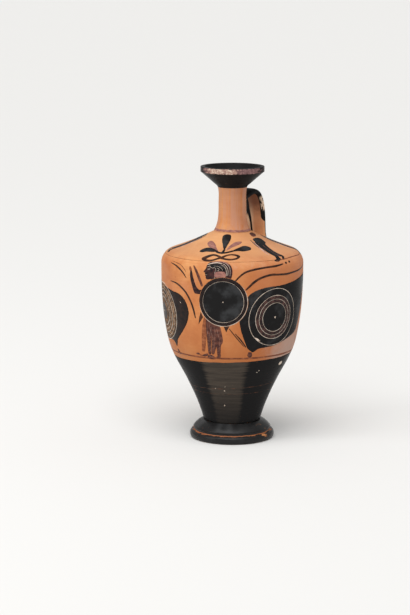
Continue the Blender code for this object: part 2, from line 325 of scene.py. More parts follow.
clayLook = {
    "clouds": {"mottle": (30.0, 5.0, 0.6), "flushAndShade": (17.0, 3.0, 0.5), "grain": (1700.0, 3.0, 0.6),
               "streaks": (1.0, 3.0, 0.5, (24.0, 24.0, 1500.0)), "grit": (620.0, 2.0, 0.5),
               "rub": (85.0, 6.0, 0.68)},
    "deep": (0.460, 0.150, 0.050), "fired": (0.600, 0.238, 0.083), "firedEdges": (0.30, 0.60),
    "layers": [  # cloud, where it sets in, how far it covers, tone
        ("mottle", (0.46, 0.70), 0.70, (0.690, 0.345, 0.140)),
        ("flushAndShade", (0.50, 0.66), 0.55, (0.620, 0.262, 0.140)),
        ("streaks", (0.50, 0.74), 0.30, (0.460, 0.150, 0.050)),
        ("rub", (0.58, 0.74), 0.35, (0.580, 0.360, 0.255)),
        ("grain", (0.60, 0.80), 0.25, (0.460, 0.150, 0.050)),
        ("grit", (0.735, 0.765), 0.65, (0.200, 0.075, 0.035)),
    ],
    # painted shade: the clay wall darker towards its bottom
    "levelStray": 0.016, "low": (0.420, 0.140, 0.044), "shadeLowEdges": (0.100, 0.067), "shadeLowCover": 0.80,
    # painted highlight: the shoulder's top made paler
    "top": (0.700, 0.400, 0.200), "highlightTopEdges": (0.143, 0.153),
    # painted shade: darker, redder clay on the side away from the lamps, less of it on the shoulder
    "flushAndShade": (0.420, 0.122, 0.034), "shadedSide": (0.983, 0.186, 0.0), "sideShadeStray": 0.5,
    "sideShadeEdges": (-0.3, 0.9), "sideShadeCover": 0.55, "sideShadeFade": 0.45, "fadeEdges": (0.135, 0.150),
    # a paler patch on the wall: worn clay, and in part a painted reflection
    "wornAndSheen": (0.430, 0.290, 0.235), "wornSheenSpot": (0.0484, 0.0039, 0.0775), "wornSheenReach": 0.025,
    "wornSheenStray": 1.6, "wornSheenEdges": (-0.30, 0.85), "wornSheenCover": 0.85,
    # finger streaks up the neck, in part painted vertical highlights
    "fingerStreaksAndSheen": (1.0, 3.0, 0.55, (330.0, 330.0, 14.0)), "fingerSheenEdges": (0.32, 0.72),
    "fingerSheenTone": (0.520, 0.275, 0.190),
    "rough": (0.42, 0.62), "roughEdges": (0.35, 0.70), "shine": 0.15, "bump": (0.45, 0.00010),
}


def clayColour(desk, place):
    # mottled fired clay with wheel streaks, grit and paler rubbed places
    made = clouds(desk, place, clayLook["clouds"])
    colour = made["mottle"].ramp(*clayLook["firedEdges"]).mix(clayLook["deep"], clayLook["fired"])
    for name, edges, cover, tone in clayLook["layers"]:
        colour = (made[name].ramp(*edges) * cover).mix(colour, tone)
    return colour, made


def firedClay(name, drawn, paler):
    # drawn: how strongly finger streaks run up the piece, in part a painted vertical highlight; paler: how
    # far its top is lighter, a painted highlight
    look = clayLook
    material, desk, place = newFinish(name)
    colour, made = clayColour(desk, place)
    stray = made["rub"] - 0.5
    level = place.part(2) + stray * look["levelStray"]
    # painted shade: the clay darker towards the bottom of the wall
    colour = (level.ramp(*look["shadeLowEdges"]) * look["shadeLowCover"]).mix(colour, look["low"])
    # painted highlight: paler clay on the shoulder's top
    colour = (level.ramp(*look["highlightTopEdges"]) * paler).mix(colour, look["top"])
    # painted shade: darker, redder clay on the side away from the lamps, less of it on the shoulder
    sideShade = turnedTo(desk, place, look["shadedSide"]) + stray * look["sideShadeStray"]
    fading = look["sideShadeCover"] - look["sideShadeFade"] * level.ramp(*look["fadeEdges"])
    colour = (sideShade.ramp(*look["sideShadeEdges"]) * fading).mix(colour, look["flushAndShade"])
    # a paler patch on the wall: worn clay, and in part a painted reflection
    patch = nearTo(desk, place, look["wornSheenSpot"], look["wornSheenReach"]) + stray * look["wornSheenStray"]
    colour = (patch.ramp(*look["wornSheenEdges"]) * look["wornSheenCover"]).mix(colour, look["wornAndSheen"])
    # finger streaks up the neck, in part painted vertical highlights
    if drawn:
        fingerStreaksAndSheen = cloud(desk, place, *look["fingerStreaksAndSheen"])
        colour = (fingerStreaksAndSheen.ramp(*look["fingerSheenEdges"]) * drawn).mix(colour, look["fingerSheenTone"])
    low, high = look["rough"]
    rough = low + (high - low) * made["rub"].ramp(*look["roughEdges"])
    height = made["grain"] * 0.5 + made["streaks"] * 0.8 + made["rub"] * 0.6
    return dress(material, desk, colour, rough, look["shine"], height, look["bump"])


glossLook = {
    "clouds": {"streaks": (1.0, 4.0, 0.6, (70.0, 70.0, 900.0)), "mottle": (60.0, 5.0, 0.62),
               "pits": (900.0, 2.0, 0.5), "flakes": (230.0, 5.0, 0.62), "bloom": (62.0, 4.0, 0.6)},
    "dense": (0.0145, 0.0141, 0.0143),
    "brown": (0.046, 0.023, 0.014), "brownEdges": (0.60, 0.84), "brownCover": 0.85,
    "bloom": (0.044, 0.045, 0.047), "bloomEdges": (0.48, 0.70),
    "clay": (0.50, 0.20, 0.085), "pitEdges": (0.765, 0.785), "pitSlope": (0.72, 0.80),
    "chip": (0.66, 0.48, 0.36), "flakeEdges": (0.775, 0.785), "flakeRough": 0.35,
    "rough": (0.22, 0.42), "roughEdges": (0.38, 0.68), "shine": 0.018, "bump": (0.35, 0.00006),
    # a painted reflection on the lower body's black: a brownish-grey panel in vertical streaks
    "reflectionTone": (0.086, 0.069, 0.055), "reflectionStreaks": (1.0, 4.0, 0.6, (40.0, 40.0, 620.0)), "reflectionStray": 0.10,
    "reflectionFacing": (0.90, 0.955), "reflectionStreakEdges": (0.3, 0.7), "reflectionCover": (0.45, 0.4),
    "reflectionLevels": (0.018, 0.050), "reflectionRise": (0.25, 0.75),
}


def glossColour(desk, place, thin, chips=0.0, bloomed=0.2):
    # black gloss slip: brush streaks where it is thin and brown, grey bloom, pits and chips down to the clay
    look = glossLook
    made = clouds(desk, place, look["clouds"])
    streaks, mottle, pits = made["streaks"], made["mottle"], made["pits"]
    low, high = look["brownEdges"]
    brown = (streaks * 0.55 + mottle * 0.45).ramp(low - thin, high - thin)
    colour = (brown * look["brownCover"]).mix(look["dense"], look["brown"])
    colour = (made["bloom"].ramp(*look["bloomEdges"]) * bloomed).mix(colour, look["bloom"])
    colour = pits.ramp(*look["pitEdges"]).mix(colour, look["clay"])
    low, high = look["flakeEdges"]
    flaked = made["flakes"].ramp(low - chips, high - chips)
    colour = flaked.mix(colour, look["chip"])
    low, high = look["rough"]
    rough = low + (high - low) * (mottle * 0.6 + streaks * 0.4).ramp(*look["roughEdges"])
    rough = rough + flaked * look["flakeRough"]
    height = streaks * 0.6 + mottle * 0.5 - pits.ramp(*look["pitSlope"]) * 1.5 - flaked * 2.0
    return colour, rough, height


def blackGloss(name, thin=0.0, chips=0.0, bloomed=0.2, reflectionSide=None):
    # the last argument gives the direction of a painted reflection on the pot: a brownish-grey panel in
    # vertical streaks, fainter towards the base
    look = glossLook
    material, desk, place = newFinish(name)
    colour, rough, height = glossColour(desk, place, thin, chips, bloomed)
    if reflectionSide:
        # painted reflection: the panel on the side facing the given direction, fainter towards the base
        reflectionStreaks = cloud(desk, place, *look["reflectionStreaks"])
        thinnedAndReflected = turnedTo(desk, place, reflectionSide) + (reflectionStreaks - 0.5) * look["reflectionStray"]
        least, more = look["reflectionCover"]
        thinnedAndReflected = thinnedAndReflected.ramp(*look["reflectionFacing"]) * (least + more * reflectionStreaks.ramp(*look["reflectionStreakEdges"]))
        least, more = look["reflectionRise"]
        rising = least + more * place.part(2).ramp(*look["reflectionLevels"])
        colour = (thinnedAndReflected * rising).mix(colour, look["reflectionTone"])
    return dress(material, desk, colour, rough, look["shine"], height, look["bump"])


# each slip: its dark tone, its pale tone, its roughness and the material slot of what it paints

slipLook = {
    "thinGloss": ((0.020, 0.012, 0.010), (0.085, 0.030, 0.014), 0.40, "black_gloss"),
    "brownGloss": ((0.012, 0.009, 0.009), (0.030, 0.016, 0.013), 0.40, "black_gloss"),
    "purpleSlip": ((0.240, 0.105, 0.090), (0.430, 0.200, 0.150), 0.62, "purple_slip"),
    "robeSlip": ((0.055, 0.022, 0.019), (0.190, 0.070, 0.045), 0.50, "purple_slip"),
    "redWash": ((0.200, 0.060, 0.026), (0.400, 0.145, 0.060), 0.52, "purple_slip"),
    "eyeWash": ((0.018, 0.013, 0.013), (0.105, 0.048, 0.040), 0.48, "purple_slip"),
    "wornBand": ((0.070, 0.042, 0.028), (0.340, 0.190, 0.100), 0.66, "purple_slip"),
    "foldLine": ((0.200, 0.105, 0.085), (0.430, 0.270, 0.215), 0.62, "fired_clay"),
    "hairGloss": ((0.014, 0.010, 0.011), (0.075, 0.028, 0.026), 0.42, "black_gloss"),
    "redLine": ((0.150, 0.045, 0.022), (0.340, 0.120, 0.055), 0.50, "purple_slip"),
    "faintLine": ((0.150, 0.052, 0.022), (0.440, 0.180, 0.070), 0.50, "black_gloss"),
    "scoreLine": ((0.022, 0.015, 0.012), (0.230, 0.085, 0.042), 0.50, "purple_slip"),
    "paleSlip": ((0.420, 0.215, 0.170), (0.700, 0.470, 0.380), 0.62, "purple_slip"),
    "scratchedClay": ((0.520, 0.400, 0.310), (0.800, 0.700, 0.600), 0.70, "fired_clay"),
}
washLook = {
    "streaks": (1.0, 4.0, 0.6, (260.0, 260.0, 420.0)), "wear": (330.0, 5.0, 0.66), "edges": (0.40, 0.66),
    "wearRough": 0.3, "shine": 0.10, "bump": (0.3, 0.00005),
}


def brushedSlip(name):
    # a thin wash: its dark tone breaks up to the paler one in streaks and worn spots
    dark, pale, roughness, slotName = slipLook[name]
    look = washLook
    material, desk, place = newFinish(name)
    streaks, wear = cloud(desk, place, *look["streaks"]), cloud(desk, place, *look["wear"])
    colour = (streaks * 0.5 + wear * 0.5).ramp(*look["edges"]).mix(dark, pale)
    rough = roughness + (wear - 0.5) * look["wearRough"]
    return dress(material, desk, colour, rough, look["shine"], streaks + wear, look["bump"]), slotName


lipLook = {
    "low": 0.21085, "high": 0.21485, "radius": 0.0243, "soft": 0.0002, "thin": -0.03,
    "rag": (420.0, 5.0, 0.66), "ragDepth": 0.0016, "flecks": (760.0, 4.0, 0.62), "fleckEdges": (0.40, 0.62),
    "mauve": (0.150, 0.080, 0.078), "rubbed": (0.270, 0.150, 0.145), "rubbedSide": (0.584, -0.812, 0.0),
    "rubbedTurn": (0.40, 0.75), "rubbedLift": 0.30, "rubbedEdges": (0.52, 0.66), "rubbedRough": 0.30,
    "wornSide": (0.271, -0.963, 0.0), "wornTurn": (0.70, 0.96),
    "pink": (0.370, 0.225, 0.180), "pinkLift": 0.34, "pinkEdges": (0.66, 0.78), "pinkHeight": 4.0,
    "cream": (0.590, 0.455, 0.360), "creamLift": 0.30, "creamEdges": (0.78, 0.84), "bump": (0.5, 0.00012),
}


def mouthGloss():
    # black gloss over the cup, rubbed to mauve and chipped to the clay on the lip's outer face
    look = lipLook
    material, desk, place = newFinish("mouthGloss")
    colour, rough, height = glossColour(desk, place, look["thin"])
    radius = desk.vector("LENGTH", flattened(desk, place), out=1)
    rag, flecks = cloud(desk, place, *look["rag"]), cloud(desk, place, *look["flecks"])
    face = between(place.part(2) + (rag - 0.5) * look["ragDepth"], look["low"], look["high"], look["soft"])
    face = face * (radius - look["radius"]).ramp(0.0, look["soft"])
    worn = turnedTo(desk, place, look["wornSide"]).ramp(*look["wornTurn"])
    wide = turnedTo(desk, place, look["rubbedSide"]).ramp(*look["rubbedTurn"])
    rubbed = face * (rag + wide * look["rubbedLift"]).ramp(*look["rubbedEdges"])
    colour = rubbed.mix(colour, flecks.ramp(*look["fleckEdges"]).mix(look["mauve"], look["rubbed"]))
    pinkish = face * (flecks + worn * look["pinkLift"]).ramp(*look["pinkEdges"])
    colour = pinkish.mix(colour, look["pink"])
    creamy = face * (flecks * 0.6 + rag * 0.4 + worn * look["creamLift"]).ramp(*look["creamEdges"])
    colour = creamy.mix(colour, look["cream"])
    rough = rough + rubbed * look["rubbedRough"]
    height = height + pinkish * (flecks - 0.5) * look["pinkHeight"]
    return dress(material, desk, colour, rough, glossLook["shine"], height, look["bump"])


footLook = {
    "thin": 0.01, "rag": (260.0, 5.0, 0.62), "ragDepth": 0.0012,
    "line": (0.330, 0.104, 0.044), "lineLow": 0.00600, "lineHigh": 0.00670, "lineSoft": 0.00015,
    "lineCover": 0.75, "underTop": 0.0003, "underStray": 0.2,
    "chipSpot": (0.0298, -0.0007, 0.0082), "chipReach": 0.0070, "chipEdges": (0.0, 0.5),
    "chipRag": (0.56, 0.60),
    "sheen": (0.105, 0.107, 0.110), "sheenLevels": (0.0088, 0.0100), "sheenCloud": (2.4, 1.0, 0.4),
    "sheenEdges": (0.42, 0.72), "sheenCover": 0.36, "bareRough": 0.30, "shine": 0.16,
}


def footGloss():
    # black gloss with the groove's line and the underside left in plain clay
    look = footLook
    material, desk, place = newFinish("footGloss")
    colour, rough, height = glossColour(desk, place, look["thin"])
    clay, made = clayColour(desk, place)
    level = place.part(2)
    rag = cloud(desk, place, *look["rag"])
    edge = (rag - 0.5) * look["ragDepth"]
    line = between(level + edge, look["lineLow"], look["lineHigh"], look["lineSoft"])
    under = (look["underTop"] - level + edge * look["underStray"]).ramp(0.0, look["underTop"])
    chips = nearTo(desk, place, look["chipSpot"], look["chipReach"]).ramp(*look["chipEdges"])
    chips = chips * rag.ramp(*look["chipRag"])
    # painted sheen: soft grey streaks on the slope standing in for reflections
    sheen = cloud(desk, facing(desk, place), *look["sheenCloud"]).ramp(*look["sheenEdges"])
    sheen = sheen * level.ramp(*look["sheenLevels"])
    colour = (sheen * look["sheenCover"]).mix(colour, look["sheen"])
    bare = desk.sum("MAXIMUM", desk.sum("MAXIMUM", line, under), chips)
    colour = bare.mix(colour, (line * look["lineCover"]).mix(clay, look["line"]))
    rough = rough + bare * look["bareRough"]
    height = height + made["grain"] * bare
    return dress(material, desk, colour, rough, look["shine"], height, glossLook["bump"])


strapLook = {
    "thin": 0.03, "rag": (330.0, 5.0, 0.62), "ragShift": 0.16, "edge": (0.26, 0.30), "sideSoft": (0.0, 0.003),
    "leftMargin": 0.26, "lineEdges": (0.1800, 0.1640), "lineShift": 0.34, "rootEdges": (0.1735, 0.1600),
    "rootShift": 1.10, "beyondLow": (0.2, 0.5), "beyondLine": (0.04, 0.08), "beyondFace": (-0.1, 0.0),
    # painted shade: the strap's clay darker towards its top, under the mouth
    "strapShade": (0.170, 0.075, 0.052), "strapShadeEdges": (0.1690, 0.1850), "strapShadeStray": 0.010, "strapShadeCover": 0.85,
    # painted light: the clay of the shaded inner face made paler, and paler still towards its left edge
    "pale": (0.820, 0.580, 0.380), "paleEdges": (-0.0010, 0.0030), "paleStray": 0.003,
    "paleCover": (0.25, 0.55), "chip": (0.70, 0.54, 0.40), "chipSpot": (0.0088, 0.0295, 0.1840),
    "chipReach": 0.0072, "chipEdges": (0.0, 0.4), "chipRag": (0.43, 0.48), "chipFrom": (0.0066, 0.0076),
    "bareRough": 0.25, "chipRough": 0.3, "bump": (0.35, 0.00008),
}


def strapGloss():
    # black gloss round the strap, with its inner face left in plain clay
    look = strapLook
    material, desk, place = newFinish("strapGloss")
    colour, rough, height = glossColour(desk, place, look["thin"])
    clay, made = clayColour(desk, place)
    inner = desk.node("ShaderNodeAttribute", {"attribute_name": "innerFace"}, out=2)
    rag = cloud(desk, place, *look["rag"])
    stray = rag - 0.5
    right, level = place.part(0), place.part(2)
    # towards the strap's root the black line on the left runs in from the edge, and the right one thins out
    left, low = (0.0 - right).ramp(*look["sideSoft"]), level.ramp(*look["lineEdges"])
    thinnedAndReflected = right.ramp(*look["sideSoft"]) * level.ramp(*look["rootEdges"]) * look["rootShift"]
    past = inner - left * (look["leftMargin"] + low * look["lineShift"]) + thinnedAndReflected + stray * look["ragShift"]
    beyond = left * low.ramp(*look["beyondLow"]) * (0.0 - past).ramp(*look["beyondLine"])
    bare = past.ramp(*look["edge"]) + beyond * inner.ramp(*look["beyondFace"])
    # painted shade: the strap's clay darker towards its top, under the mouth
    strapShaded = (level + stray * look["strapShadeStray"]).ramp(*look["strapShadeEdges"])
    # painted light: the clay of the shaded inner face made paler, and paler still towards its left edge
    paleLeft = (0.0 - right + stray * look["paleStray"]).ramp(*look["paleEdges"])
    least, more = look["paleCover"]
    clay = (least + paleLeft * more).mix(clay, look["pale"])
    clay = (strapShaded * look["strapShadeCover"]).mix(clay, look["strapShade"])
    colour = bare.mix(colour, clay)
    chips = nearTo(desk, place, look["chipSpot"], look["chipReach"]).ramp(*look["chipEdges"])
    chips = chips * rag.ramp(*look["chipRag"]) * right.ramp(*look["chipFrom"])
    colour = chips.mix(colour, look["chip"])
    rough = rough + bare * look["bareRough"] + chips * look["chipRough"]
    height = height + made["grain"] * bare
    return dress(material, desk, colour, rough, glossLook["shine"], height, look["bump"])


wheel = wheelTree()
clayFinish = firedClay("firedClay", drawn=0.0, paler=0.45)
neckFinish = firedClay("neckClay", drawn=0.75, paler=0.0)
# the lower body's black, with a painted reflection on the side towards the camera
lowerFinish = blackGloss("lowerGloss", thin=0.02, chips=0.012, bloomed=0.0, reflectionSide=(0.476, -0.879, 0.0))
slips = {name: brushedSlip(name) for name in slipLook}  # finish and slot of each slip
slips["lowerGloss"] = lowerFinish, "black_gloss"
slips["denseGloss"] = blackGloss("denseGloss", bloomed=0.9), "black_gloss"
print("finishes ready:", len(bpy.data.materials))

# body: a flared base, a taper, a tall wall, a rounded turn and a sloping shoulder

bodyLook = {
    "side": [(14.6, 164.5, 1.0, -0.5), (48.5, 150.2, 1.0, -0.35), (55.8, 140.0, 0.0, -1.0),
             (50.6, 80.0, -0.22, -1.0), (36.0, 48.0, -0.5, -1.0), (22.5, 14.5, -0.28, -1.0)],
    "paintRoom": 0.10, "wall": 4.5, "floor": 20.5, "bore": 9.5,
    "seatRim": 1.0, "recess": 1.2, "corner": 0.30, "steps": 26, "innerSteps": 12,
    "sides": 288, "ridgeDepth": 0.05, "ridgeScale": 260.0, "swayDepth": 0.14, "seed": 3.0,
}

bodySide = offsetLine(leanCurve(bodyLook["side"], bodyLook["steps"]), -bodyLook["paintRoom"])


def bodyOutline():
    look = bodyLook
    inner = offsetLine(leanCurve(look["side"], look["innerSteps"]), -look["wall"])
    inner = inner[(inner[:, 0] > look["bore"]) & (inner[:, 1] > look["floor"])][::-1]
    top = look["side"][0][1]
    seat = top - look["recess"]
    rim = look["side"][0][0] - look["seatRim"]
    corner = (inner[0][0] - (inner[0][1] - look["floor"]), look["floor"])
    inside = [(0.0, look["floor"]), corner] + list(inner) + [(look["bore"], top - look["wall"])]
    shelf = [(look["bore"], seat), (rim, seat), (rim, top)]
    line = inside + shelf + list(bodySide) + [(0.0, bodySide[-1][1])]
    return softened(line, look["corner"])


body = settle(throwPiece("thrownBody", bodyOutline(), clayFinish, bodyLook), "fired_clay", "body")
print("body thrown:", len(body.data.polygons), "faces")

# neck: a slim tube with a flared base, seated on the shoulder

neckLook = {
    "side": [(11.5, 198.8, -0.25, -1.0), (10.9, 185.9, 0.0, -1.0), (14.6, 164.5, 0.6, -1.0)],
    "bore": 8.1, "seatRim": 1.0, "recess": 1.5, "corner": 0.25, "steps": 26,
    "sides": 160, "ridgeDepth": 0.05, "ridgeScale": 420.0, "swayDepth": 0.10, "seed": 11.0,
}


def neckOutline():
    look = neckLook
    side = list(leanCurve(look["side"], look["steps"]))
    top, base = side[0][1], side[-1][1]
    rim, recess = side[0][0] - look["seatRim"], top - look["recess"]
    seat = [(look["bore"], recess), (rim, recess), (rim, top)]
    loop = softened(side + [(look["bore"], base)] + seat, look["corner"], closed=True)
    return np.vstack([loop, loop[:1]])


neck = settle(throwPiece("thrownNeck", neckOutline(), neckFinish, neckLook), "fired_clay", "neck")
print("neck thrown:", len(neck.data.polygons), "faces")

# mouth: a flaring cup with an upright lip

mouthLook = {
    "radius": 25.0, "top": 215.0, "lipBottom": 210.8, "lipWidth": 3.0, "rimLean": (0.45, 1.0),
    "coneStep": (0.5, 0.15), "coneSteps": 14, "cove": (14.5, 201.9),
    "neckRadius": 11.5, "base": 198.8, "baseLean": (-0.4, -1.0),
    "bore": 8.1, "cupFloor": 202.8, "floorLean": (1.0, 0.3), "corner": 0.55, "steps": 18,
    "sides": 224, "ridgeDepth": 0.10, "ridgeScale": 300.0, "swayDepth": 0.08, "seed": 19.0,
}


def mouthOutline():
    look = mouthLook
    lip = [(look["radius"], look["top"]), (look["radius"], look["lipBottom"])]
    start = np.array(lip[1]) - np.array(look["coneStep"])
    end = np.array(look["cove"])
    under = [start * (1 - t) + end * t for t in np.linspace(0, 1, look["coneSteps"])[:-1]]
    cove = leanCurve([(*end, *(end - start)), (look["neckRadius"], look["base"], *look["baseLean"])],
                     look["steps"])
    cup = leanCurve([(look["bore"], look["cupFloor"], *look["floorLean"]),
                     (look["radius"] - look["lipWidth"], look["top"], *look["rimLean"])], look["steps"])
    loop = lip + under + list(cove) + [(look["bore"], look["base"])] + list(cup)
    loop = softened(loop, look["corner"], closed=True)
    return np.vstack([loop, loop[:1]])


mouth = settle(throwPiece("cupMouth", mouthOutline(), mouthGloss(), mouthLook), "black_gloss", "mouth")
print("mouth thrown:", len(mouth.data.polygons), "faces")

# foot: a turned disc with a rounded edge, a groove and a hollow underside

footShape = {
    "height": 14.45, "seatRadius": 22.5, "margin": 0.6, "recess": 1.45, "seatRim": 1.0,
    "slopeRadius": 30.6, "topLean": (1.0, -0.45), "slopeLean": (0.7, -1.0),
    "grooveRadius": 30.1, "grooveTop": 8.6, "grooveStep": 0.3, "edgeHeight": 6.0, "edgeSteps": 25,
    "radius": 33.4, "rest": 31.2, "hollowRadius": 20.0, "hollowDepth": 3.5, "hollowLean": (-0.3, 1.0),
    "corner": 0.35, "steps": 16,
    "sides": 224, "ridgeDepth": 0.06, "ridgeScale": 700.0, "swayDepth": 0.06, "seed": 27.0,
}


def footOutline():
    look = footShape
    top, rim = look["height"], look["seatRadius"] - look["seatRim"]
    seat = [(0.0, top - look["recess"]), (rim, top - look["recess"]), (rim, top)]
    slope = leanCurve([(look["seatRadius"] + look["margin"], top, *look["topLean"]),
                       (look["slopeRadius"], look["grooveTop"], *look["slopeLean"])], look["steps"])
    groove = [(look["grooveRadius"], look["grooveTop"] - look["grooveStep"]),
              (look["grooveRadius"], look["edgeHeight"])]
    edge = []
    for turn in np.linspace(0.0, math.pi, look["edgeSteps"]):
        edge.append((look["rest"] + (look["radius"] - look["rest"]) * math.sin(turn),
                     look["edgeHeight"] * (1.0 + math.cos(turn)) / 2.0))
    hollow = leanCurve([(look["hollowRadius"], 0.0, *look["hollowLean"]),
                        (0.0, look["hollowDepth"], -1.0, 0.0)], look["steps"])
    return softened(seat + list(slope) + groove + edge + list(hollow), look["corner"])


foot = settle(throwPiece("turnedFoot", footOutline(), footGloss(), footShape), "black_gloss", "foot")
print("foot turned:", len(foot.data.polygons), "faces")

# handle: a strap pulled from the neck over to the shoulder

strapShape = {
    "path": [(9.3, 189.4, 1.0, 0.55), (20.5, 193.4, 1.0, 0.0), (31.5, 169.9, 0.05, -1.0),
             (33.5, 153.6, 0.10, -1.0)],
    "ratios": [0.95, 1.0, 1.08, 0.98], "smoothing": 8, "width": 16.4, "thickness": 5.0, "power": 2.6,
    "steps": 34, "around": 56, "neckWrap": 9.6, "wrapReach": 4.5, "wrapAbove": 175.0,
}


def strapRing(place, run, ratio, grow=(1.0, 1.0)):
    # one section across the strap: x across, and the second axis square to the path
    look = strapShape
    square = np.array([-run[1], run[0]])
    half = look["width"] * ratio * grow[0] / 2, look["thickness"] * ratio * grow[1] / 2
    ring = []
    for step in range(look["around"]):
        turn = 2 * math.pi * step / look["around"]
        cosine, sine = math.cos(turn), math.sin(turn)
        across = math.copysign(abs(cosine) ** (2 / look["power"]), cosine)
        deep = math.copysign(abs(sine) ** (2 / look["power"]), sine)
        spot = place + square * (half[1] * deep)
        if place[1] > look["wrapAbove"]:  # the upper end wraps round the neck
            wrap = max(0.0, 1.0 - max(0.0, spot[0] - look["path"][0][0]) / look["wrapReach"])
            bow = look["neckWrap"] - math.sqrt(max(0.0, look["neckWrap"] ** 2 - (half[0] * across) ** 2))
            spot[0] -= bow * wrap
        inward = 1.0 - abs(across) if deep < 0 else -1.0
        ring.append((half[0] * across, spot[0], spot[1], inward))
    return ring


def strapPath():
    look = strapShape
    path = leanCurve(look["path"], look["steps"])
    run = np.gradient(path, axis=0)
    run /= np.linalg.norm(run, axis=1)[:, None]
    ratio = np.interp(np.arange(len(path)) / look["steps"], range(len(look["ratios"])), look["ratios"])
    window = 2 * look["smoothing"] + 1
    soft = np.convolve(np.pad(ratio, look["smoothing"], mode="edge"), np.ones(window) / window, mode="valid")
    return path, run, soft


def sweptPiece(name, rings, finish):
    around = len(rings[0])
    spots = [spot for ring in rings for spot in ring]
    lastRing = (len(rings) - 1) * around
    faces = []
    for first in range(0, lastRing, around):
        for step in range(around):
            after = (step + 1) % around
            faces.append((first + step, first + after, first + around + after, first + around + step))
    faces += [tuple(range(around)), tuple(range(lastRing, lastRing + around))]
    shape = bpy.data.meshes.new(name)
    shape.from_pydata([(x * mm, y * mm, z * mm) for x, y, z, inward in spots], [], faces)
    tone = shape.attributes.new("innerFace", "FLOAT", "POINT")
    tone.data.foreach_set("value", np.array([spot[3] for spot in spots], np.float32))
    shape.materials.append(finish)
    work = bmesh.new()
    work.from_mesh(shape)
    bmesh.ops.recalc_face_normals(work, faces=work.faces)
    work.to_mesh(shape)
    work.free()
    shape.shade_smooth()
    return addObject(name, shape)


strapFinish = strapGloss()
path, run, ratios = strapPath()
handle = sweptPiece("strapHandle", [strapRing(*row) for row in zip(path, run, ratios)], strapFinish)
settle(handle, "black_gloss", "handle")

lutingShape = {"topRows": 16, "rootRows": 24, "flare": 0.34, "wide": 0.14, "tuck": 0.97}


def lutingCollar(name, rows):
    # clay smeared round the strap's end: wide at the wall, running out to nothing along the strap
    look = lutingShape
    rings = []
    for step, row in enumerate(rows):
        left = (1.0 - step / (len(rows) - 1)) ** 2
        grow = look["tuck"] + look["wide"] * left, look["tuck"] + look["flare"] * left
        rings.append(strapRing(path[row], run[row], ratios[row], grow))
    return sweptPiece(name, rings, strapFinish)


topLuting = lutingCollar("handleTopLuting", range(lutingShape["topRows"]))
settle(topLuting, "luting_clay", "handle_top_luting")
lastRow = len(path) - 1
rootLuting = lutingCollar("handleRootLuting", range(lastRow, lastRow - lutingShape["rootRows"], -1))
settle(rootLuting, "luting_clay", "handle_root_luting")
print("handle pulled:", len(handle.data.polygons), "faces")

# the beds of luting clay keep their solids

for name in ("foot_luting", "neck_luting", "mouth_luting"):
    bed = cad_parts[name]
    bed.data.materials.clear()
    bed.data.materials.append(slips["scratchedClay"][0])

# painting: shapes drawn flat in millimetres, then laid on the pot as thin closed coats
# a chart is the turn and the run up the pot's side at which a drawing has its zero

paintLook = {
    "frontTurn": 35.7,  # the painted front, from -Y towards +X
    "castFrom": 0.003, "castReach": 0.006, "sink": 0.04, "crease": 0.6,
    "cell": 1.6, "rowShare": 0.87, "weld": 1e-4,
    "edgeScale": 0.45, "cutScale": 0.16, "cutWidths": (0.35, 0.9), "cutFade": (0.30, 0.35),
    "bandScale": 6.0, "bandStart": 0.05, "bandLeast": 0.06,
}


def runsAlong(side):
    return np.concatenate([[0.0], np.cumsum(np.linalg.norm(np.diff(side, axis=0), axis=1))])


def skinTree(piece):
    return BVHTree.FromPolygons([corner.co for corner in piece.data.vertices],
                                [face.vertices for face in piece.data.polygons])


paintSide = bodySide[::-1]  # from the base up
paintRun = runsAlong(paintSide)
bodySkin = skinTree(body)
bodyFace = paintSide, bodySkin
neckFace = leanCurve(neckLook["side"], neckLook["steps"])[::-1], skinTree(neck)


def onPot(turns, places, leans, skin):
    # the pot's surface and its normal at angles, for outline places and leans
    spots, normals = [], []
    for turn, (radius, level), (across, rise) in zip(turns, places, leans):
        azimuth = math.radians(paintLook["frontTurn"] + turn)
        outward = Vector((math.sin(azimuth), -math.cos(azimuth), 0.0))
        normal = outward * float(rise) + Vector((0.0, 0.0, -float(across)))
        spot = (outward * float(radius) + Vector((0.0, 0.0, float(level)))) * mm
        hit = skin.ray_cast(spot + normal * paintLook["castFrom"], -normal, paintLook["castReach"])[0]
        spots.append(hit if hit is not None else spot)
        normals.append(normal)
    return spots, normals


def outlineAt(side, runs, wanted):
    lean = np.gradient(side, axis=0)
    lean /= np.linalg.norm(lean, axis=1)[:, None]
    places = np.stack([np.interp(wanted, runs, side[:, 0]), np.interp(wanted, runs, side[:, 1])], 1)
    leans = np.stack([np.interp(wanted, runs, lean[:, 0]), np.interp(wanted, runs, lean[:, 1])], 1)
    return places, leans / np.linalg.norm(leans, axis=1)[:, None]


def layFlat(flat, chart):
    # flat points of a chart as spots and normals on the pot
    places, leans = outlineAt(paintSide, paintRun, chart["run"] + flat[:, 1])
    turns = chart["turn"] + np.degrees(flat[:, 0] / places[:, 0])
    return onPot(turns, places, leans, bodySkin)


def onChart(shape, start, end):
    # the same shape in the terms of another chart
    moved = []
    for loop in shape:
        runs = start["run"] + loop[:, 1]
        radii = np.interp(runs, paintRun, paintSide[:, 0])
        across = loop[:, 0] + math.radians(start["turn"] - end["turn"]) * radii
        moved.append(np.stack([across, runs - end["run"]], 1))
    return moved


def flipped(points, mirror):
    return [(x * mirror, y) for x, y in points]


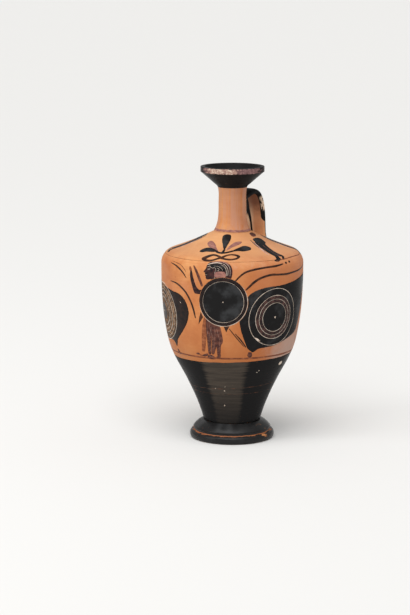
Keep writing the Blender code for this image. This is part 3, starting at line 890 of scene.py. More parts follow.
def closedCoat(name, spots, normals, faces, slip, lift, sink, slotName=None):
    # a thin solid: faces on top, the same faces turned over below, and walls along the open edges
    finish, slipSlot = slips[slip]
    work = bmesh.new()
    tops = [work.verts.new(spot + normal * (lift * mm)) for spot, normal in zip(spots, normals)]
    lows = [work.verts.new(spot - normal * (sink * mm)) for spot, normal in zip(spots, normals)]
    seen = {}
    for face in faces:
        for first, last in zip(face, list(face[1:]) + [face[0]]):
            seen[(first, last)] = True
        work.faces.new([tops[corner] for corner in face])
        work.faces.new([lows[corner] for corner in reversed(face)])
    for first, last in seen:
        if (last, first) not in seen:
            work.faces.new([tops[last], tops[first], lows[first], lows[last]])
    for corner in [corner for corner in work.verts if not corner.link_faces]:
        work.verts.remove(corner)
    for face in work.faces:
        face.smooth = True
    for edge in work.edges:
        edge.smooth = len(edge.link_faces) == 2 and edge.calc_face_angle() < paintLook["crease"]
    shape = bpy.data.meshes.new(name)
    work.to_mesh(shape)
    work.free()
    shape.materials.append(finish)
    return settle(addObject(name, shape), slotName or slipSlot)


def splineThrough(points, closed=False, steps=8):
    points = np.array(points, float)
    count = len(points)
    line = []
    for index in range(count if closed else count - 1):
        picks = [index - 1, index, index + 1, index + 2]
        picks = [pick % count if closed else min(max(pick, 0), count - 1) for pick in picks]
        a, b, c, d = points[picks]
        for step in range(steps):
            t = step / steps
            square, cube = 2 * a - 5 * b + 4 * c - d, 3 * b - a - 3 * c + d
            line.append(0.5 * (2 * b + (c - a) * t + square * t * t + cube * t**3))
    if not closed:
        line.append(points[-1])
    return np.array(line)


def blob(points, steps=6):
    return [splineThrough(points, True, steps)]


def ringLoop(centre, radius, count, sign=1):
    turns = np.linspace(0.0, 2.0 * math.pi * sign, count, endpoint=False)
    return np.stack([centre[0] + radius * np.cos(turns), centre[1] + radius * np.sin(turns)], 1)


def disc(centre, radius, count):
    return [ringLoop(centre, radius, count)]


def compassLine(centre, radius, width, seed, bold=(0.0, 1.0)):
    # a circle scratched with a compass: its cut is deepest towards the bold direction
    scale, (least, more), (start, span) = paintLook["cutScale"], paintLook["cutWidths"], paintLook["cutFade"]
    count = int(max(40, radius * 9))
    outer, inner = ringLoop(centre, radius, count), ringLoop(centre, radius, count, -1)
    for loop, side in ((outer, 1.0), (inner, -1.0)):
        for index, (x, y) in enumerate(loop):
            depth = 0.5 + 0.5 * noise.noise(Vector((x * scale, y * scale, seed)))
            share = 0.5 + 0.5 * math.cos(math.atan2(y - centre[1], x - centre[0]) - math.radians(bold[0]))
            share = bold[1] + (1.0 - bold[1]) * min(1.0, max(0.0, (share - start) / span))
            wide = width * (least + more * depth) * share
            loop[index] += (loop[index] - np.array(centre)) / radius * side * wide / 2
    return [outer, inner]


def stroke(points, widths, steps=8):
    # a brush stroke or a scratch: a line with a width that changes along it, and round ends
    line = splineThrough(points, steps=steps)
    wide = np.interp(np.linspace(0, len(widths) - 1, len(line)), range(len(widths)), widths)
    run = np.gradient(line, axis=0)
    run /= np.linalg.norm(run, axis=1)[:, None]
    side = np.stack([-run[:, 1], run[:, 0]], 1)
    caps = []
    for index, way in ((-1, 1.0), (0, -1.0)):
        turns = np.linspace(0.0, math.pi, 6)[1:-1]
        half = wide[index] / 2
        across, along = side[index] * (way * half), run[index] * (way * half)
        caps.append([line[index] + across * math.cos(turn) + along * math.sin(turn) for turn in turns])
    left, right = line + side * wide[:, None] / 2, line - side * wide[:, None] / 2
    return [np.vstack([left, caps[0], right[::-1], caps[1]])]


def handDrawn(shape, amount, seed):
    # a brush's unsteady edge
    scale = paintLook["edgeScale"]
    drawn = []
    for loop in shape:
        run = np.roll(loop, -1, 0) - np.roll(loop, 1, 0)
        run /= np.maximum(np.linalg.norm(run, axis=1), 1e-9)[:, None]
        shift = [noise.noise(Vector((x * scale, y * scale, seed))) * amount for x, y in loop]
        drawn.append(loop + np.stack([run[:, 1], -run[:, 0]], 1) * np.array(shift)[:, None])
    return drawn


def covers(shapes, spots):
    # which spots lie in any of the shapes, by winding number
    found = np.zeros(len(spots), bool)
    for shape in shapes:
        low = np.min([loop.min(0) for loop in shape], axis=0)
        high = np.max([loop.max(0) for loop in shape], axis=0)
        near = np.where(np.all((spots >= low) & (spots <= high), axis=1) & ~found)[0]
        x, y = spots[near, 0], spots[near, 1]
        wind = np.zeros(len(near), int)
        for loop in shape:
            for (x0, y0), (x1, y1) in zip(loop, np.roll(loop, -1, axis=0)):
                side = (x1 - x0) * (y - y0) - (x - x0) * (y1 - y0)
                wind += ((y0 <= y) & (y1 > y) & (side > 0)).astype(int)
                wind -= ((y0 > y) & (y1 <= y) & (side < 0)).astype(int)
        found[near[wind != 0]] = True
    return found


def layCoat(name, chart, paint, scratches, slip, lift,
            sink=paintLook["sink"], cell=paintLook["cell"], slotName=None):
    # fill the painted shapes with triangles, less what is scratched away, and lay them on the pot
    corners, edges = [], []
    for shape in paint + scratches:
        for loop in shape:
            first = len(corners)
            corners += [Vector(point) for point in loop]
            edges += [(first + step, first + (step + 1) % len(loop)) for step in range(len(loop))]
    low = np.min([loop.min(0) for shape in paint for loop in shape], axis=0)
    high = np.max([loop.max(0) for shape in paint for loop in shape], axis=0)
    levels = np.arange(low[1], high[1], cell * paintLook["rowShare"])
    grid = np.array([(x + cell * 0.5 * (row % 2), y) for row, y in enumerate(levels)
                     for x in np.arange(low[0], high[0], cell)])
    grid = grid[covers(paint, grid)] if len(grid) else grid
    corners += [Vector(point) for point in grid]
    made = delaunay_2d_cdt(corners, edges, [], 0, paintLook["weld"])
    flat, faces = np.array([tuple(point) for point in made[0]]), np.array(made[2])
    centres = flat[faces].mean(axis=1)
    keep = covers(paint, centres)
    if scratches:
        keep &= ~covers(scratches, centres)
    faces = faces[keep]
    picked, packed = np.unique(faces, return_inverse=True)
    faces = packed.reshape(faces.shape).tolist()
    spots, normals = layFlat(flat[picked], chart)
    return closedCoat(name, spots, normals, faces, slip, lift, sink, slotName)


def layBand(name, face, levels, slip, lift, waver, seed, tilt=(0.0, 0.0), columns=300, rows=2):
    # a painted band right round the pot, between two unsteady edges
    side, skin = face
    scale = paintLook["bandScale"]
    runs = runsAlong(side)
    lowRun, highRun = np.interp(levels, side[:, 1], runs)
    turns, wanted = [], []
    for column in range(columns):
        turn = 2.0 * math.pi * column / columns
        drift = []
        for edge in (0, 1):
            place = Vector((math.cos(turn) * scale, math.sin(turn) * scale, seed + 9 * edge))
            drift.append(noise.fractal(place, 1.0, 2.0, 3) * waver + tilt[edge] * math.sin(turn))
        bottom, top = max(lowRun + drift[0], paintLook["bandStart"]), min(highRun + drift[1], runs[-1])
        top = max(top, bottom + paintLook["bandLeast"])
        turns += [math.degrees(turn)] * (rows + 1)
        wanted += list(np.linspace(bottom, top, rows + 1))
    places, leans = outlineAt(side, runs, np.array(wanted))
    spots, normals = onPot(turns, places, leans, skin)
    faces = []
    for column in range(columns):
        near, far = column * (rows + 1), ((column + 1) % columns) * (rows + 1)
        faces += [[near + row, far + row, far + row + 1, near + row + 1] for row in range(rows)]
    return closedCoat(name, spots, normals, faces, slip, lift, paintLook["sink"])


# bands: the black lower body, its lines, the ground line and the neck's purple ring
# a band's tilt lifts its edges at the right and lowers them at the left, as a hand-held brush did

bandLook = {
    "gloss": (14.6, 68.6), "glossTilt": (0.0, 1.6), "ground": (71.3, 72.6),
    "neckRing": (165.0, 166.6), "ringTilt": (-0.3, -0.3),
    "ringEnd": [(-3.2, -2.4), (-1.4, 2.2), (3.0, 2.8), (5.0, 0.6), (1.4, -2.4)],
    "ringEndChart": {"turn": 60.0, "run": 177.6},
    "lowerLines": [(45.4, 0.22, 1.9), (40.5, 0.12, 0.4)],  # level, width, tilt
    "shoulderLine": (147.42, 147.62),
}


def paintBands():
    look = bandLook
    layBand("lowerGloss", bodyFace, look["gloss"], "lowerGloss", lift=0.06, waver=0.28, seed=1.0,
            tilt=look["glossTilt"], columns=288, rows=70)
    layBand("groundLine", bodyFace, look["ground"], "redLine", lift=0.05, waver=0.22, seed=2.0)
    for index, (level, width, tilt) in enumerate(look["lowerLines"]):
        layBand("lowerLine%d" % index, bodyFace, (level, level + width), "scoreLine", lift=0.08, waver=0.24,
                seed=3.0 + index, tilt=(tilt, tilt))
    layBand("neckRing", neckFace, look["neckRing"], "purpleSlip", lift=0.06, waver=0.26, seed=4.0,
            tilt=look["ringTilt"], columns=200, rows=4)
    ringEnd = handDrawn(blob(look["ringEnd"]), amount=0.2, seed=6.0)
    layCoat("ringEnd", look["ringEndChart"], [ringEnd], [], "robeSlip", lift=0.05, cell=1.0)
    layBand("shoulderLine", bodyFace, look["shoulderLine"], "faintLine", lift=0.04, waver=0.14, seed=5.0)


paintBands()
print("bands painted")

# shield: a black disc with scratched circles, deepest at its lower right

shieldLook = {
    "chart": {"turn": -6.1, "run": 109.0}, "centre": (-0.4, -0.2), "radius": 19.0, "circle": 16.0,
    "circleCut": 0.42, "circleBold": (-60.0, 0.62), "rimLine": 18.95, "rimCut": 0.54,
    "rimBold": (-68.0, 0.10), "dot": 0.50, "hides": 19.35, "hidesFigure": 19.25,
}


def paintShield():
    look, chart = shieldLook, shieldLook["chart"]
    centre = look["centre"]
    circle = compassLine(centre, look["circle"], look["circleCut"], seed=3.0, bold=look["circleBold"])
    rim = compassLine(centre, look["rimLine"], look["rimCut"], seed=8.0, bold=look["rimBold"])
    lines = [circle, rim, disc(centre, look["dot"], 20)]
    band = [ringLoop(centre, look["radius"], 220), ringLoop(centre, look["circle"], 180, -1)]
    layCoat("shieldPaint", chart, [disc(centre, look["circle"], 180)], lines, "denseGloss", lift=0.07)
    layCoat("shieldBand", chart, [band], lines, "brownGloss", lift=0.07)
    layCoat("shieldLines", chart, lines, [], "scratchedClay", lift=0.03)


paintShield()

# eyes: black almonds with compass rings and washes; the left one is rubbed to the clay between its rings

eyeLook = {
    "dot": 0.80,
    "right": {
        "rings": [(22.5, 0.52), (17.1, 0.50), (14.2, 0.42), (11.3, 0.45)],
        "chart": {"turn": 38.2, "run": 95.3}, "seed": 5.0, "paint": "denseGloss", "wash": "eyeWash",
        "washes": [(15.65, 2.9), (12.75, 2.4)],
        "chip": ([(-16.0, -15.3), (-13.9, -16.8), (-11.9, -18.1)], [0.7, 1.7, 0.8]),
        "outline": [(-29.7, 0.1), (-28.6, 8.2), (-26.4, 13.1), (-24.0, 17.7), (-18.4, 21.7), (-9.1, 24.0),
                    (2.9, 24.4), (16.2, 25.4), (30.0, 27.2), (41.0, 28.6), (50.0, 29.4), (51.4, 27.4),
                    (46.0, 20.5), (41.0, 12.0), (37.0, 1.5), (33.8, -7.5), (29.0, -15.2), (15.0, -19.6),
                    (2.2, -23.0), (-8.8, -24.0), (-12.8, -24.8), (-16.4, -27.0), (-21.1, -23.4),
                    (-25.4, -15.2), (-28.6, -6.3)],
        "pendant": [(-19.8, -26.9), (-17.2, -27.5), (-16.4, -30.7), (-18.3, -31.8), (-20.0, -29.6)],
    },
    "left": {
        "chart": {"turn": -75.6, "run": 95.0}, "seed": 6.0, "paint": "brownGloss", "wash": "wornBand",
        "rings": [(22.5, 0.60), (19.8, 0.44), (17.1, 0.60), (14.2, 0.50), (11.3, 0.80)],
        "washes": [(19.6, 5.0), (14.2, 5.2), (8.6, 4.4)], "chip": ([(28.6, 11.2), (29.4, 10.4)], [0.3, 0.5]),
        "outline": [(36.9, 3.2), (34.9, 11.8), (29.0, 17.0), (19.4, 18.6), (11.8, 19.8), (2.6, 21.2),
                    (-8.0, 23.2), (-18.0, 24.8), (-30.0, 27.2), (-41.0, 28.6), (-50.0, 29.4), (-51.4, 27.4),
                    (-46.0, 20.5), (-41.0, 12.0), (-37.0, 1.5), (-33.8, -7.5), (-29.0, -15.2),
                    (-15.0, -20.2), (-2.2, -22.4), (6.0, -21.6), (12.4, -22.4), (15.4, -26.2),
                    (19.2, -20.2), (26.0, -13.8), (33.2, -5.6)],
        "pendant": [(14.0, -30.0), (15.0, -28.2), (16.0, -29.2), (17.2, -32.4), (15.2, -32.6)],
    },
}


def paintEye(side):
    look = eyeLook[side]
    chart, seed = look["chart"], look["seed"]
    centre = (0.0, 0.0)
    lines = [compassLine(centre, radius, width, seed + radius) for radius, width in look["rings"]]
    lines.append(disc(centre, eyeLook["dot"], 24))
    lines.append(stroke(*look["chip"]))
    hidden = [onChart(disc(shieldLook["centre"], shieldLook["hides"], 200), shieldLook["chart"], chart)]
    washes = [compassLine(centre, radius, width, seed + 2 * radius) for radius, width in look["washes"]]
    almond = [handDrawn(blob(look["outline"], 10), amount=0.30, seed=seed)]
    pendant = [handDrawn(blob(look["pendant"]), amount=0.2, seed=seed)]
    layCoat(side + "EyePaint", chart, almond, lines + hidden, look["paint"], lift=0.06)
    layCoat(side + "EyeLines", chart, lines, hidden, "scratchedClay", lift=0.03)
    layCoat(side + "EyeWash", chart, washes, lines, look["wash"], lift=0.075)
    layCoat(side + "EyePendant", chart, pendant, [], "robeSlip", lift=0.05)


paintEye("right")
paintEye("left")
print("shield and eyes painted")

# shoulder: a palmette on two loops, and lotus buds round it

palmetteLook = {
    "chart": {"turn": -10.0, "run": 152.5},
    "petals": [
        [(-3.5, 26.0), (-0.7, 27.6), (2.2, 26.1), (3.0, 20.2), (2.1, 13.2), (0.8, 5.0), (-2.0, 13.0),
         (-3.8, 20.7)],
        [(-19.3, 0.4), (-17.2, 4.6), (-12.5, 7.2), (-8.0, 6.2), (-4.2, 2.8), (-7.4, 1.1), (-12.6, 1.0),
         (-16.6, -0.6)],
        [(7.0, 3.0), (10.1, 7.4), (15.2, 10.8), (20.6, 8.2), (21.3, 4.4), (16.2, 2.6), (12.1, 3.3)],
    ],
    "purple": [
        [(-4.0, 2.6), (-6.0, 8.2), (-8.9, 14.4), (-13.0, 17.0), (-15.4, 13.2), (-13.0, 8.9), (-8.8, 5.8)],
        [(2.5, 4.1), (4.5, 12.5), (7.5, 16.9), (12.2, 17.0), (11.0, 13.1), (7.0, 9.4)],
    ],
    "stems": [([(0.8, 5.4), (0.5, 3.0), (0.0, 0.2)], [1.6, 1.9, 2.4]),
              ([(-5.0, 2.6), (-3.3, 0.8), (0.0, -0.1)], [2.2, 2.6, 2.6]),
              ([(0.0, 0.0), (3.4, 1.0), (7.6, 3.4)], [2.6, 2.4, 2.4])],
    "loops": ([(-12.9, -9.8), (-10.2, -6.4), (-6.3, -3.5), (-2.4, -4.8), (0.6, -7.6), (3.6, -9.0),
               (8.2, -9.7), (12.4, -8.5), (13.7, -5.9), (11.8, -3.5), (7.4, -2.3), (3.5, -4.2), (0.9, -7.2),
               (-1.8, -8.8), (-5.7, -10.9), (-10.3, -11.4), (-12.7, -10.2)],
              [3.8, 3.6, 2.9, 2.4, 2.8, 2.1, 2.0, 2.3, 2.4, 2.4, 2.2, 2.5, 2.8, 2.1, 1.7, 2.2, 3.4]),
}


def paintPalmette():
    look, chart = palmetteLook, palmetteLook["chart"]
    black = [handDrawn(blob(petal), amount=0.18, seed=index + 0.5)
             for index, petal in enumerate(look["petals"])]
    black += [stroke(points, widths) for points, widths in look["stems"]]
    purple = [handDrawn(blob(petal), amount=0.3, seed=index + 4.5)
              for index, petal in enumerate(look["purple"])]
    layCoat("palmettePaint", chart, black, [], "denseGloss", lift=0.06, cell=1.2)
    layCoat("loopPaint", chart, [stroke(*look["loops"])], [], "thinGloss", lift=0.05, cell=1.2)
    layCoat("palmetteSlip", chart, purple, [], "purpleSlip", lift=0.05, cell=1.2)


budLook = {
    "charts": [(45.0, 155.0, 1), (-84.0, 158.5, -1), (93.0, 155.0, 1), (190.0, 155.0, 1),
               (231.0, 155.0, -1)],
    "head": [(-1.8, 12.0), (-0.8, 16.8), (3.6, 18.0), (8.0, 16.4), (8.6, 11.6), (7.0, 9.0), (3.4, 8.0),
             (0.0, 7.2)],
    "strokes": [([(-0.8, 11.0), (-1.5, 5.0), (-1.8, -4.0), (-1.0, -11.0), (-1.8, -14.4)],
                 [4.6, 4.6, 4.2, 3.6, 3.2]),
                ([(-0.4, -13.8), (-2.8, -15.2), (-5.4, -15.4)], [3.0, 2.8, 1.4]),
                ([(4.0, 10.0), (2.6, 4.0), (2.3, -3.0), (3.3, -9.0), (4.8, -12.4), (3.4, -14.8)],
                 [3.2, 2.9, 2.6, 2.6, 2.8, 1.6])],
    "fill": [(0.0, 10.4), (3.8, 10.0), (2.6, 3.0), (2.3, -3.0), (3.2, -8.8), (4.2, -12.2), (1.0, -11.6),
             (-0.8, -10.0), (-1.4, -4.0), (-1.0, 4.0)],
    "whisker": ([(-4.0, 15.8), (-4.9, 9.0), (-5.4, 3.6)], [0.5, 0.9, 0.3]),
    "slip": ([(-3.6, 12.5), (-4.6, 5.0), (-5.4, -2.0), (-5.9, -7.8)], [0.7, 1.6, 1.6, 0.5]),
}


def paintBuds():
    look = budLook
    for index, (turn, run, mirror) in enumerate(look["charts"]):
        chart = {"turn": turn, "run": run}
        black = [handDrawn(blob(flipped(look["head"], mirror)), amount=0.2, seed=index + 2.5)]
        for points, widths in look["strokes"] + [look["whisker"]]:
            black.append(stroke(flipped(points, mirror), widths))
        points, widths = look["slip"]
        fill = [blob(flipped(look["fill"], mirror))]
        layCoat("budPaint%d" % index, chart, black, [], "denseGloss", lift=0.06, cell=1.3)
        layCoat("budFill%d" % index, chart, fill, [], "robeSlip", lift=0.045, cell=1.3)
        layCoat("budSlip%d" % index, chart, [stroke(flipped(points, mirror), widths)], [], "paleSlip",
                lift=0.05, cell=1.3)


paintPalmette()
paintBuds()
print("shoulder painted")

# vine branches, with leaves that a Geometry Nodes tree sets on them

vineLook = {
    "right": ({"turn": 38.2, "run": 95.3}, [
        ([(-33.7, 30.2), (-29.8, 34.1), (-25.5, 36.8), (-18.4, 38.5), (-8.9, 39.5), (0.1, 39.9),
          (7.1, 40.8)], [1.1, 1.3, 1.5, 1.6, 1.4, 1.7, 1.0]),
        ([(-25.7, 23.0), (-22.9, 25.6), (-19.2, 28.8), (-14.0, 31.6), (-5.7, 33.4), (2.8, 33.0),
          (9.9, 32.6), (18.3, 32.9), (34.0, 33.8), (48.0, 36.8)],
         [1.0, 1.7, 1.9, 1.7, 1.7, 1.5, 1.6, 1.4, 1.1, 0.7])]),
    "left": ({"turn": -45.0, "run": 115.0}, [
        ([(-12.2, 20.3), (-5.5, 19.1), (-0.3, 16.8), (3.4, 14.1), (6.4, 10.6)], [0.4, 1.1, 1.5, 1.3, 0.4]),
        ([(-12.6, 6.2), (-3.6, 5.0), (4.6, 0.4), (9.6, -6.0), (12.3, -12.6), (13.8, -19.6)],
         [0.4, 1.4, 1.6, 1.6, 1.7, 1.0])]),
    "back": ({"turn": 160.0, "run": 108.0}, [
        ([(-58.0, 22.0), (-44.0, 26.0), (-28.0, 23.0), (-12.0, 27.0), (4.0, 23.5), (20.0, 27.0),
          (36.0, 23.0), (52.0, 26.0)], [0.6, 1.1, 1.0, 1.2, 1.0, 1.2, 1.0, 0.5]),
        ([(-48.0, 4.0), (-36.0, -3.0), (-22.0, 3.0), (-8.0, -4.0), (6.0, 3.0), (20.0, -3.0), (34.0, 3.0),
          (46.0, -2.0)], [0.6, 1.1, 1.0, 1.2, 1.0, 1.2, 1.0, 0.5])]),
}
leafLook = {
    "tips": [("right", (11.0, 41.3), (1.0, 0.1)), ("right", (15.3, 41.7), (1.0, 0.1))],
    "spacing": 6, "offset": 2.3, "length": 2.4, "width": 1.9, "thick": 0.12, "segments": 14, "rings": 8,
}


def leafTree():
    desk, given = newTree("leavesOnBranches", "Leaves", {
        "Sites": "Geometry", "Length": "Float", "Width": "Float", "Thickness": "Float", "Finish": "Material"})
    outward = desk.node("GeometryNodeInputNamedAttribute", {"data_type": "FLOAT_VECTOR"}, {"Name": "outward"})
    along = desk.node("GeometryNodeInputNamedAttribute", {"data_type": "FLOAT_VECTOR"}, {"Name": "along"})
    standing = desk.node("FunctionNodeAlignRotationToVector", {"axis": "Z"}, {"Vector": outward})
    turned = desk.node("FunctionNodeAlignRotationToVector", {"axis": "X", "pivot_axis": "Z"},
                       {"Rotation": standing, "Vector": along})
    dab = desk.node("GeometryNodeMeshUVSphere", None, {
        "Segments": leafLook["segments"], "Rings": leafLook["rings"], "Radius": 0.5})
    size = desk.joined(given["Length"], given["Width"], given["Thickness"])
    placed = desk.node("GeometryNodeInstanceOnPoints", None, {
        "Points": given["Sites"], "Instance": dab, "Rotation": turned, "Scale": size})
    return closeTree(desk, placed, given["Finish"])


def leafSites():
    # the branch tips at the front, and both sides of the branches at the back
    sites = [(vineLook[side][0], spot, way) for side, spot, way in leafLook["tips"]]
    chart, branches = vineLook["back"]
    for points, widths in branches:
        line = splineThrough(points)
        run = np.gradient(line, axis=0)
        for count, index in enumerate(range(3, len(line) - 2, leafLook["spacing"])):
            way = unit(run[index])
            side = np.array([-way[1], way[0]]) * (leafLook["offset"] if count % 2 else -leafLook["offset"])
            sites.append((chart, line[index] + side, way + side / leafLook["offset"]))
    return sites


def paintLeaves():
    spots, outward, along = [], [], []
    for chart, spot, way in leafSites():
        ends = [layFlat(np.array([np.array(spot) + np.array(way) * step]), chart) for step in (0.0, 0.5)]
        spots.append(ends[0][0][0])
        outward.append(ends[0][1][0])
        along.append(ends[1][0][0] - ends[0][0][0])
    shape = bpy.data.meshes.new("leafSites")
    shape.from_pydata(spots, [], [])
    for name, values in (("outward", outward), ("along", along)):
        held = shape.attributes.new(name, "FLOAT_VECTOR", "POINT")
        held.data.foreach_set("vector", np.array([tuple(value) for value in values], np.float32).ravel())
    piece = addObject("vineLeaves", shape)
    finish, slotName = slips["thinGloss"]
    setTree(piece, leafTree(), {"Length": leafLook["length"] * mm, "Width": leafLook["width"] * mm,
                                "Thickness": leafLook["thick"] * mm, "Finish": finish})
    settle(plainMesh(piece, "vineLeaves"), slotName)
    return len(spots)


for side, (chart, branches) in vineLook.items():
    layCoat(side + "Vine", chart, [stroke(points, widths) for points, widths in branches], [], "thinGloss",
            lift=0.05, cell=1.2)
print("vines painted:", paintLeaves(), "leaves")

# fine lines: the brush's second pass on the shoulder, and one by the left branch

fineLook = {
    "shoulderStroke": ({"turn": 60.0, "run": 139.9}, "redLine", [0.3, 0.6, 0.8, 0.8, 0.7, 0.4], [
        (-18.2, -0.5), (-11.5, -0.2), (-5.9, 0.2), (0.5, 0.5), (8.3, 0.4), (20.3, -0.4)]),
    "branchStroke": ({"turn": -45.0, "run": 115.0}, "faintLine", [0.3, 0.6, 0.7, 0.6, 0.3], [
        (-11.4, 21.9), (-5.1, 21.2), (0.1, 20.1), (3.9, 17.8), (6.2, 15.2)]),
}
for name, (chart, slip, widths, points) in fineLook.items():
    layCoat(name, chart, [stroke(points, widths)], [], slip, lift=0.06, cell=1.0, slotName="black_gloss")

# the figure behind the shield

figureLook = {
    "cutShares": (0.6, 1.2, 1.0), "foldShares": (0.7, 1.3, 0.8, 1.0),
    "head": [(-12.4, 29.0), (-13.3, 27.2), (-13.7, 25.6), (-15.6, 22.9), (-14.5, 22.1), (-14.7, 21.2),
             (-14.1, 20.6), (-14.4, 19.9), (-13.8, 19.2), (-14.0, 18.2), (-12.8, 17.0), (-9.4, 17.2),
             (-8.6, 14.6), (1.0, 14.6), (2.6, 18.0), (5.6, 17.8), (6.8, 21.6), (6.6, 25.4), (4.8, 28.8),
             (1.4, 31.0), (-3.4, 31.9), (-8.4, 31.3), (-11.2, 30.3)],
    "arm": [(-17.0, 8.6), (-18.2, 8.6), (-19.8, 8.8), (-21.4, 10.2), (-22.8, 12.6), (-24.5, 17.2),
            (-25.6, 21.4), (-26.4, 23.2), (-27.4, 22.4), (-27.5, 17.4), (-25.8, 11.3), (-24.0, 6.3),
            (-21.6, 5.2), (-17.4, 5.8)],
    "hand": [(-26.3, 22.4), (-26.0, 23.6), (-26.6, 25.4), (-27.8, 26.2), (-28.4, 24.6), (-27.6, 22.2)],
    "spear": ([(-24.2, 26.6), (-22.3, 23.6), (-20.3, 19.4), (-18.7, 15.8), (-17.2, 12.2)],
              [0.9, 2.0, 2.2, 2.1, 1.8]),
    "tails": [([(-11.6, -14.0), (-11.8, -24.0), (-11.6, -32.0), (-11.4, -41.6)], [4.8, 4.0, 3.2, 2.4]),
              ([(-9.0, -15.0), (-8.2, -25.0), (-7.6, -33.0), (-8.8, -41.6)], [4.8, 4.4, 4.2, 2.2]),
              ([(-6.0, -16.0), (-4.2, -25.0), (-3.4, -31.0), (-4.2, -35.0), (-4.2, -43.4)],
               [4.4, 5.2, 5.2, 3.6, 2.4])],
    "redTails": [([(-14.4, -14.0), (-15.4, -22.0), (-15.8, -29.0), (-16.6, -39.6)], [3.0, 4.2, 4.0, 2.7]),
                 ([(-13.0, -15.0), (-13.2, -21.0), (-13.8, -26.6)], [2.8, 3.0, 1.4])],
    "feet": [[(-23.4, -43.0), (-21.4, -42.2), (-20.2, -43.0), (-20.8, -44.0), (-22.6, -43.8)],
             [(-17.8, -44.0), (-15.0, -42.6), (-13.0, -42.2), (-12.8, -43.6), (-14.6, -44.8),
              (-16.8, -45.0)],
             [(-13.0, -44.0), (-11.0, -43.0), (-8.6, -44.0), (-6.6, -46.0), (-8.0, -47.0), (-11.6, -46.8),
              (-13.2, -45.4)],
             [(-6.4, -44.8), (-4.4, -43.4), (-3.0, -42.0), (-2.8, -44.0), (-3.4, -45.4), (-5.4, -45.7)]],
    "sole": ([(-20.8, -43.4), (-18.8, -44.2), (-16.8, -44.6)], [0.8, 1.2, 0.8]),
    "point": [(-18.2, -8.6), (-16.3, -12.7), (-20.4, -18.8), (-19.6, -12.9)],
    "wedge": [(-0.4, -18.6), (4.6, -18.6), (1.9, -23.9)],
    "threads": [([(4.3, -21.2), (9.7, -28.5), (15.0, -35.4)], [0.6, 0.8, 0.5]),
                ([(8.9, -25.3), (13.2, -30.7), (16.6, -36.1)], [0.6, 1.2, 0.8])],
    "purple": [(-5.6, 22.9), (0.8, 22.9), (1.3, 19.0), (-6.6, 18.9)],
    "wreath": ([(-9.4, 30.5), (-4.0, 31.3), (1.0, 30.7), (4.2, 28.4)], [0.5, 0.9, 0.9, 0.4]),
    "hair": [(-12.6, 28.6), (-9.0, 29.0), (-3.4, 28.8), (0.4, 27.0), (1.6, 24.0), (-1.6, 23.2),
             (-5.4, 24.4), (-7.2, 26.0), (-9.6, 26.2), (-11.6, 27.6)],
    "cuts": [([(-13.0, 28.2), (-9.6, 29.6), (-5.4, 30.4), (-1.6, 29.8)], 0.62),
             ([(-11.8, 29.0), (-10.4, 27.2), (-8.8, 26.0), (-6.6, 26.2), (-5.8, 24.2)], 0.24),
             ([(-5.8, 24.2), (-6.8, 22.4), (-6.4, 20.2), (-7.2, 18.0)], 0.24),
             ([(-12.6, 25.0), (-11.6, 25.5), (-10.4, 25.1), (-11.5, 24.6), (-12.5, 24.9)], 0.18),
             ([(-13.0, 26.6), (-11.6, 27.0), (-10.0, 26.4)], 0.18),
             ([(-14.0, 20.6), (-12.9, 20.5)], 0.18),
             ([(-5.2, 25.6), (-3.9, 25.9), (-3.4, 24.8), (-4.2, 23.8), (-5.0, 24.2)], 0.22),
             ([(-2.4, 29.9), (1.0, 28.6), (3.4, 24.8), (3.2, 20.4)], 0.30),
             ([(-1.8, 28.6), (0.8, 27.0), (2.2, 23.8), (2.2, 20.2)], 0.30),
             ([(-1.0, 30.8), (2.8, 29.0), (5.0, 25.4), (5.0, 20.0)], 0.20),
             ([(-7.6, 27.6), (-4.6, 27.4), (-1.9, 26.2), (-0.4, 24.2)], 0.18)],
    "folds": [([(-12.6, -18.0), (-13.0, -24.0), (-12.3, -30.0), (-12.2, -39.0)], 0.22),
              ([(-11.0, -18.4), (-10.4, -23.0), (-11.2, -28.0), (-10.8, -39.5)], 0.28),
              ([(-9.2, -19.0), (-9.9, -24.0), (-8.6, -29.5), (-8.8, -39.0)], 0.28),
              ([(-7.6, -20.0), (-6.8, -25.0), (-7.4, -31.0), (-7.8, -37.0)], 0.22),
              ([(-5.6, -21.0), (-4.4, -26.0), (-3.4, -32.0), (-4.2, -40.0)], 0.20),
              ([(-12.4, -43.8), (-10.8, -44.8), (-9.6, -45.6), (-8.6, -46.6)], 0.30),
              ([(-11.2, -46.4), (-10.0, -45.0), (-9.2, -44.2), (-8.6, -43.8)], 0.26)],
}


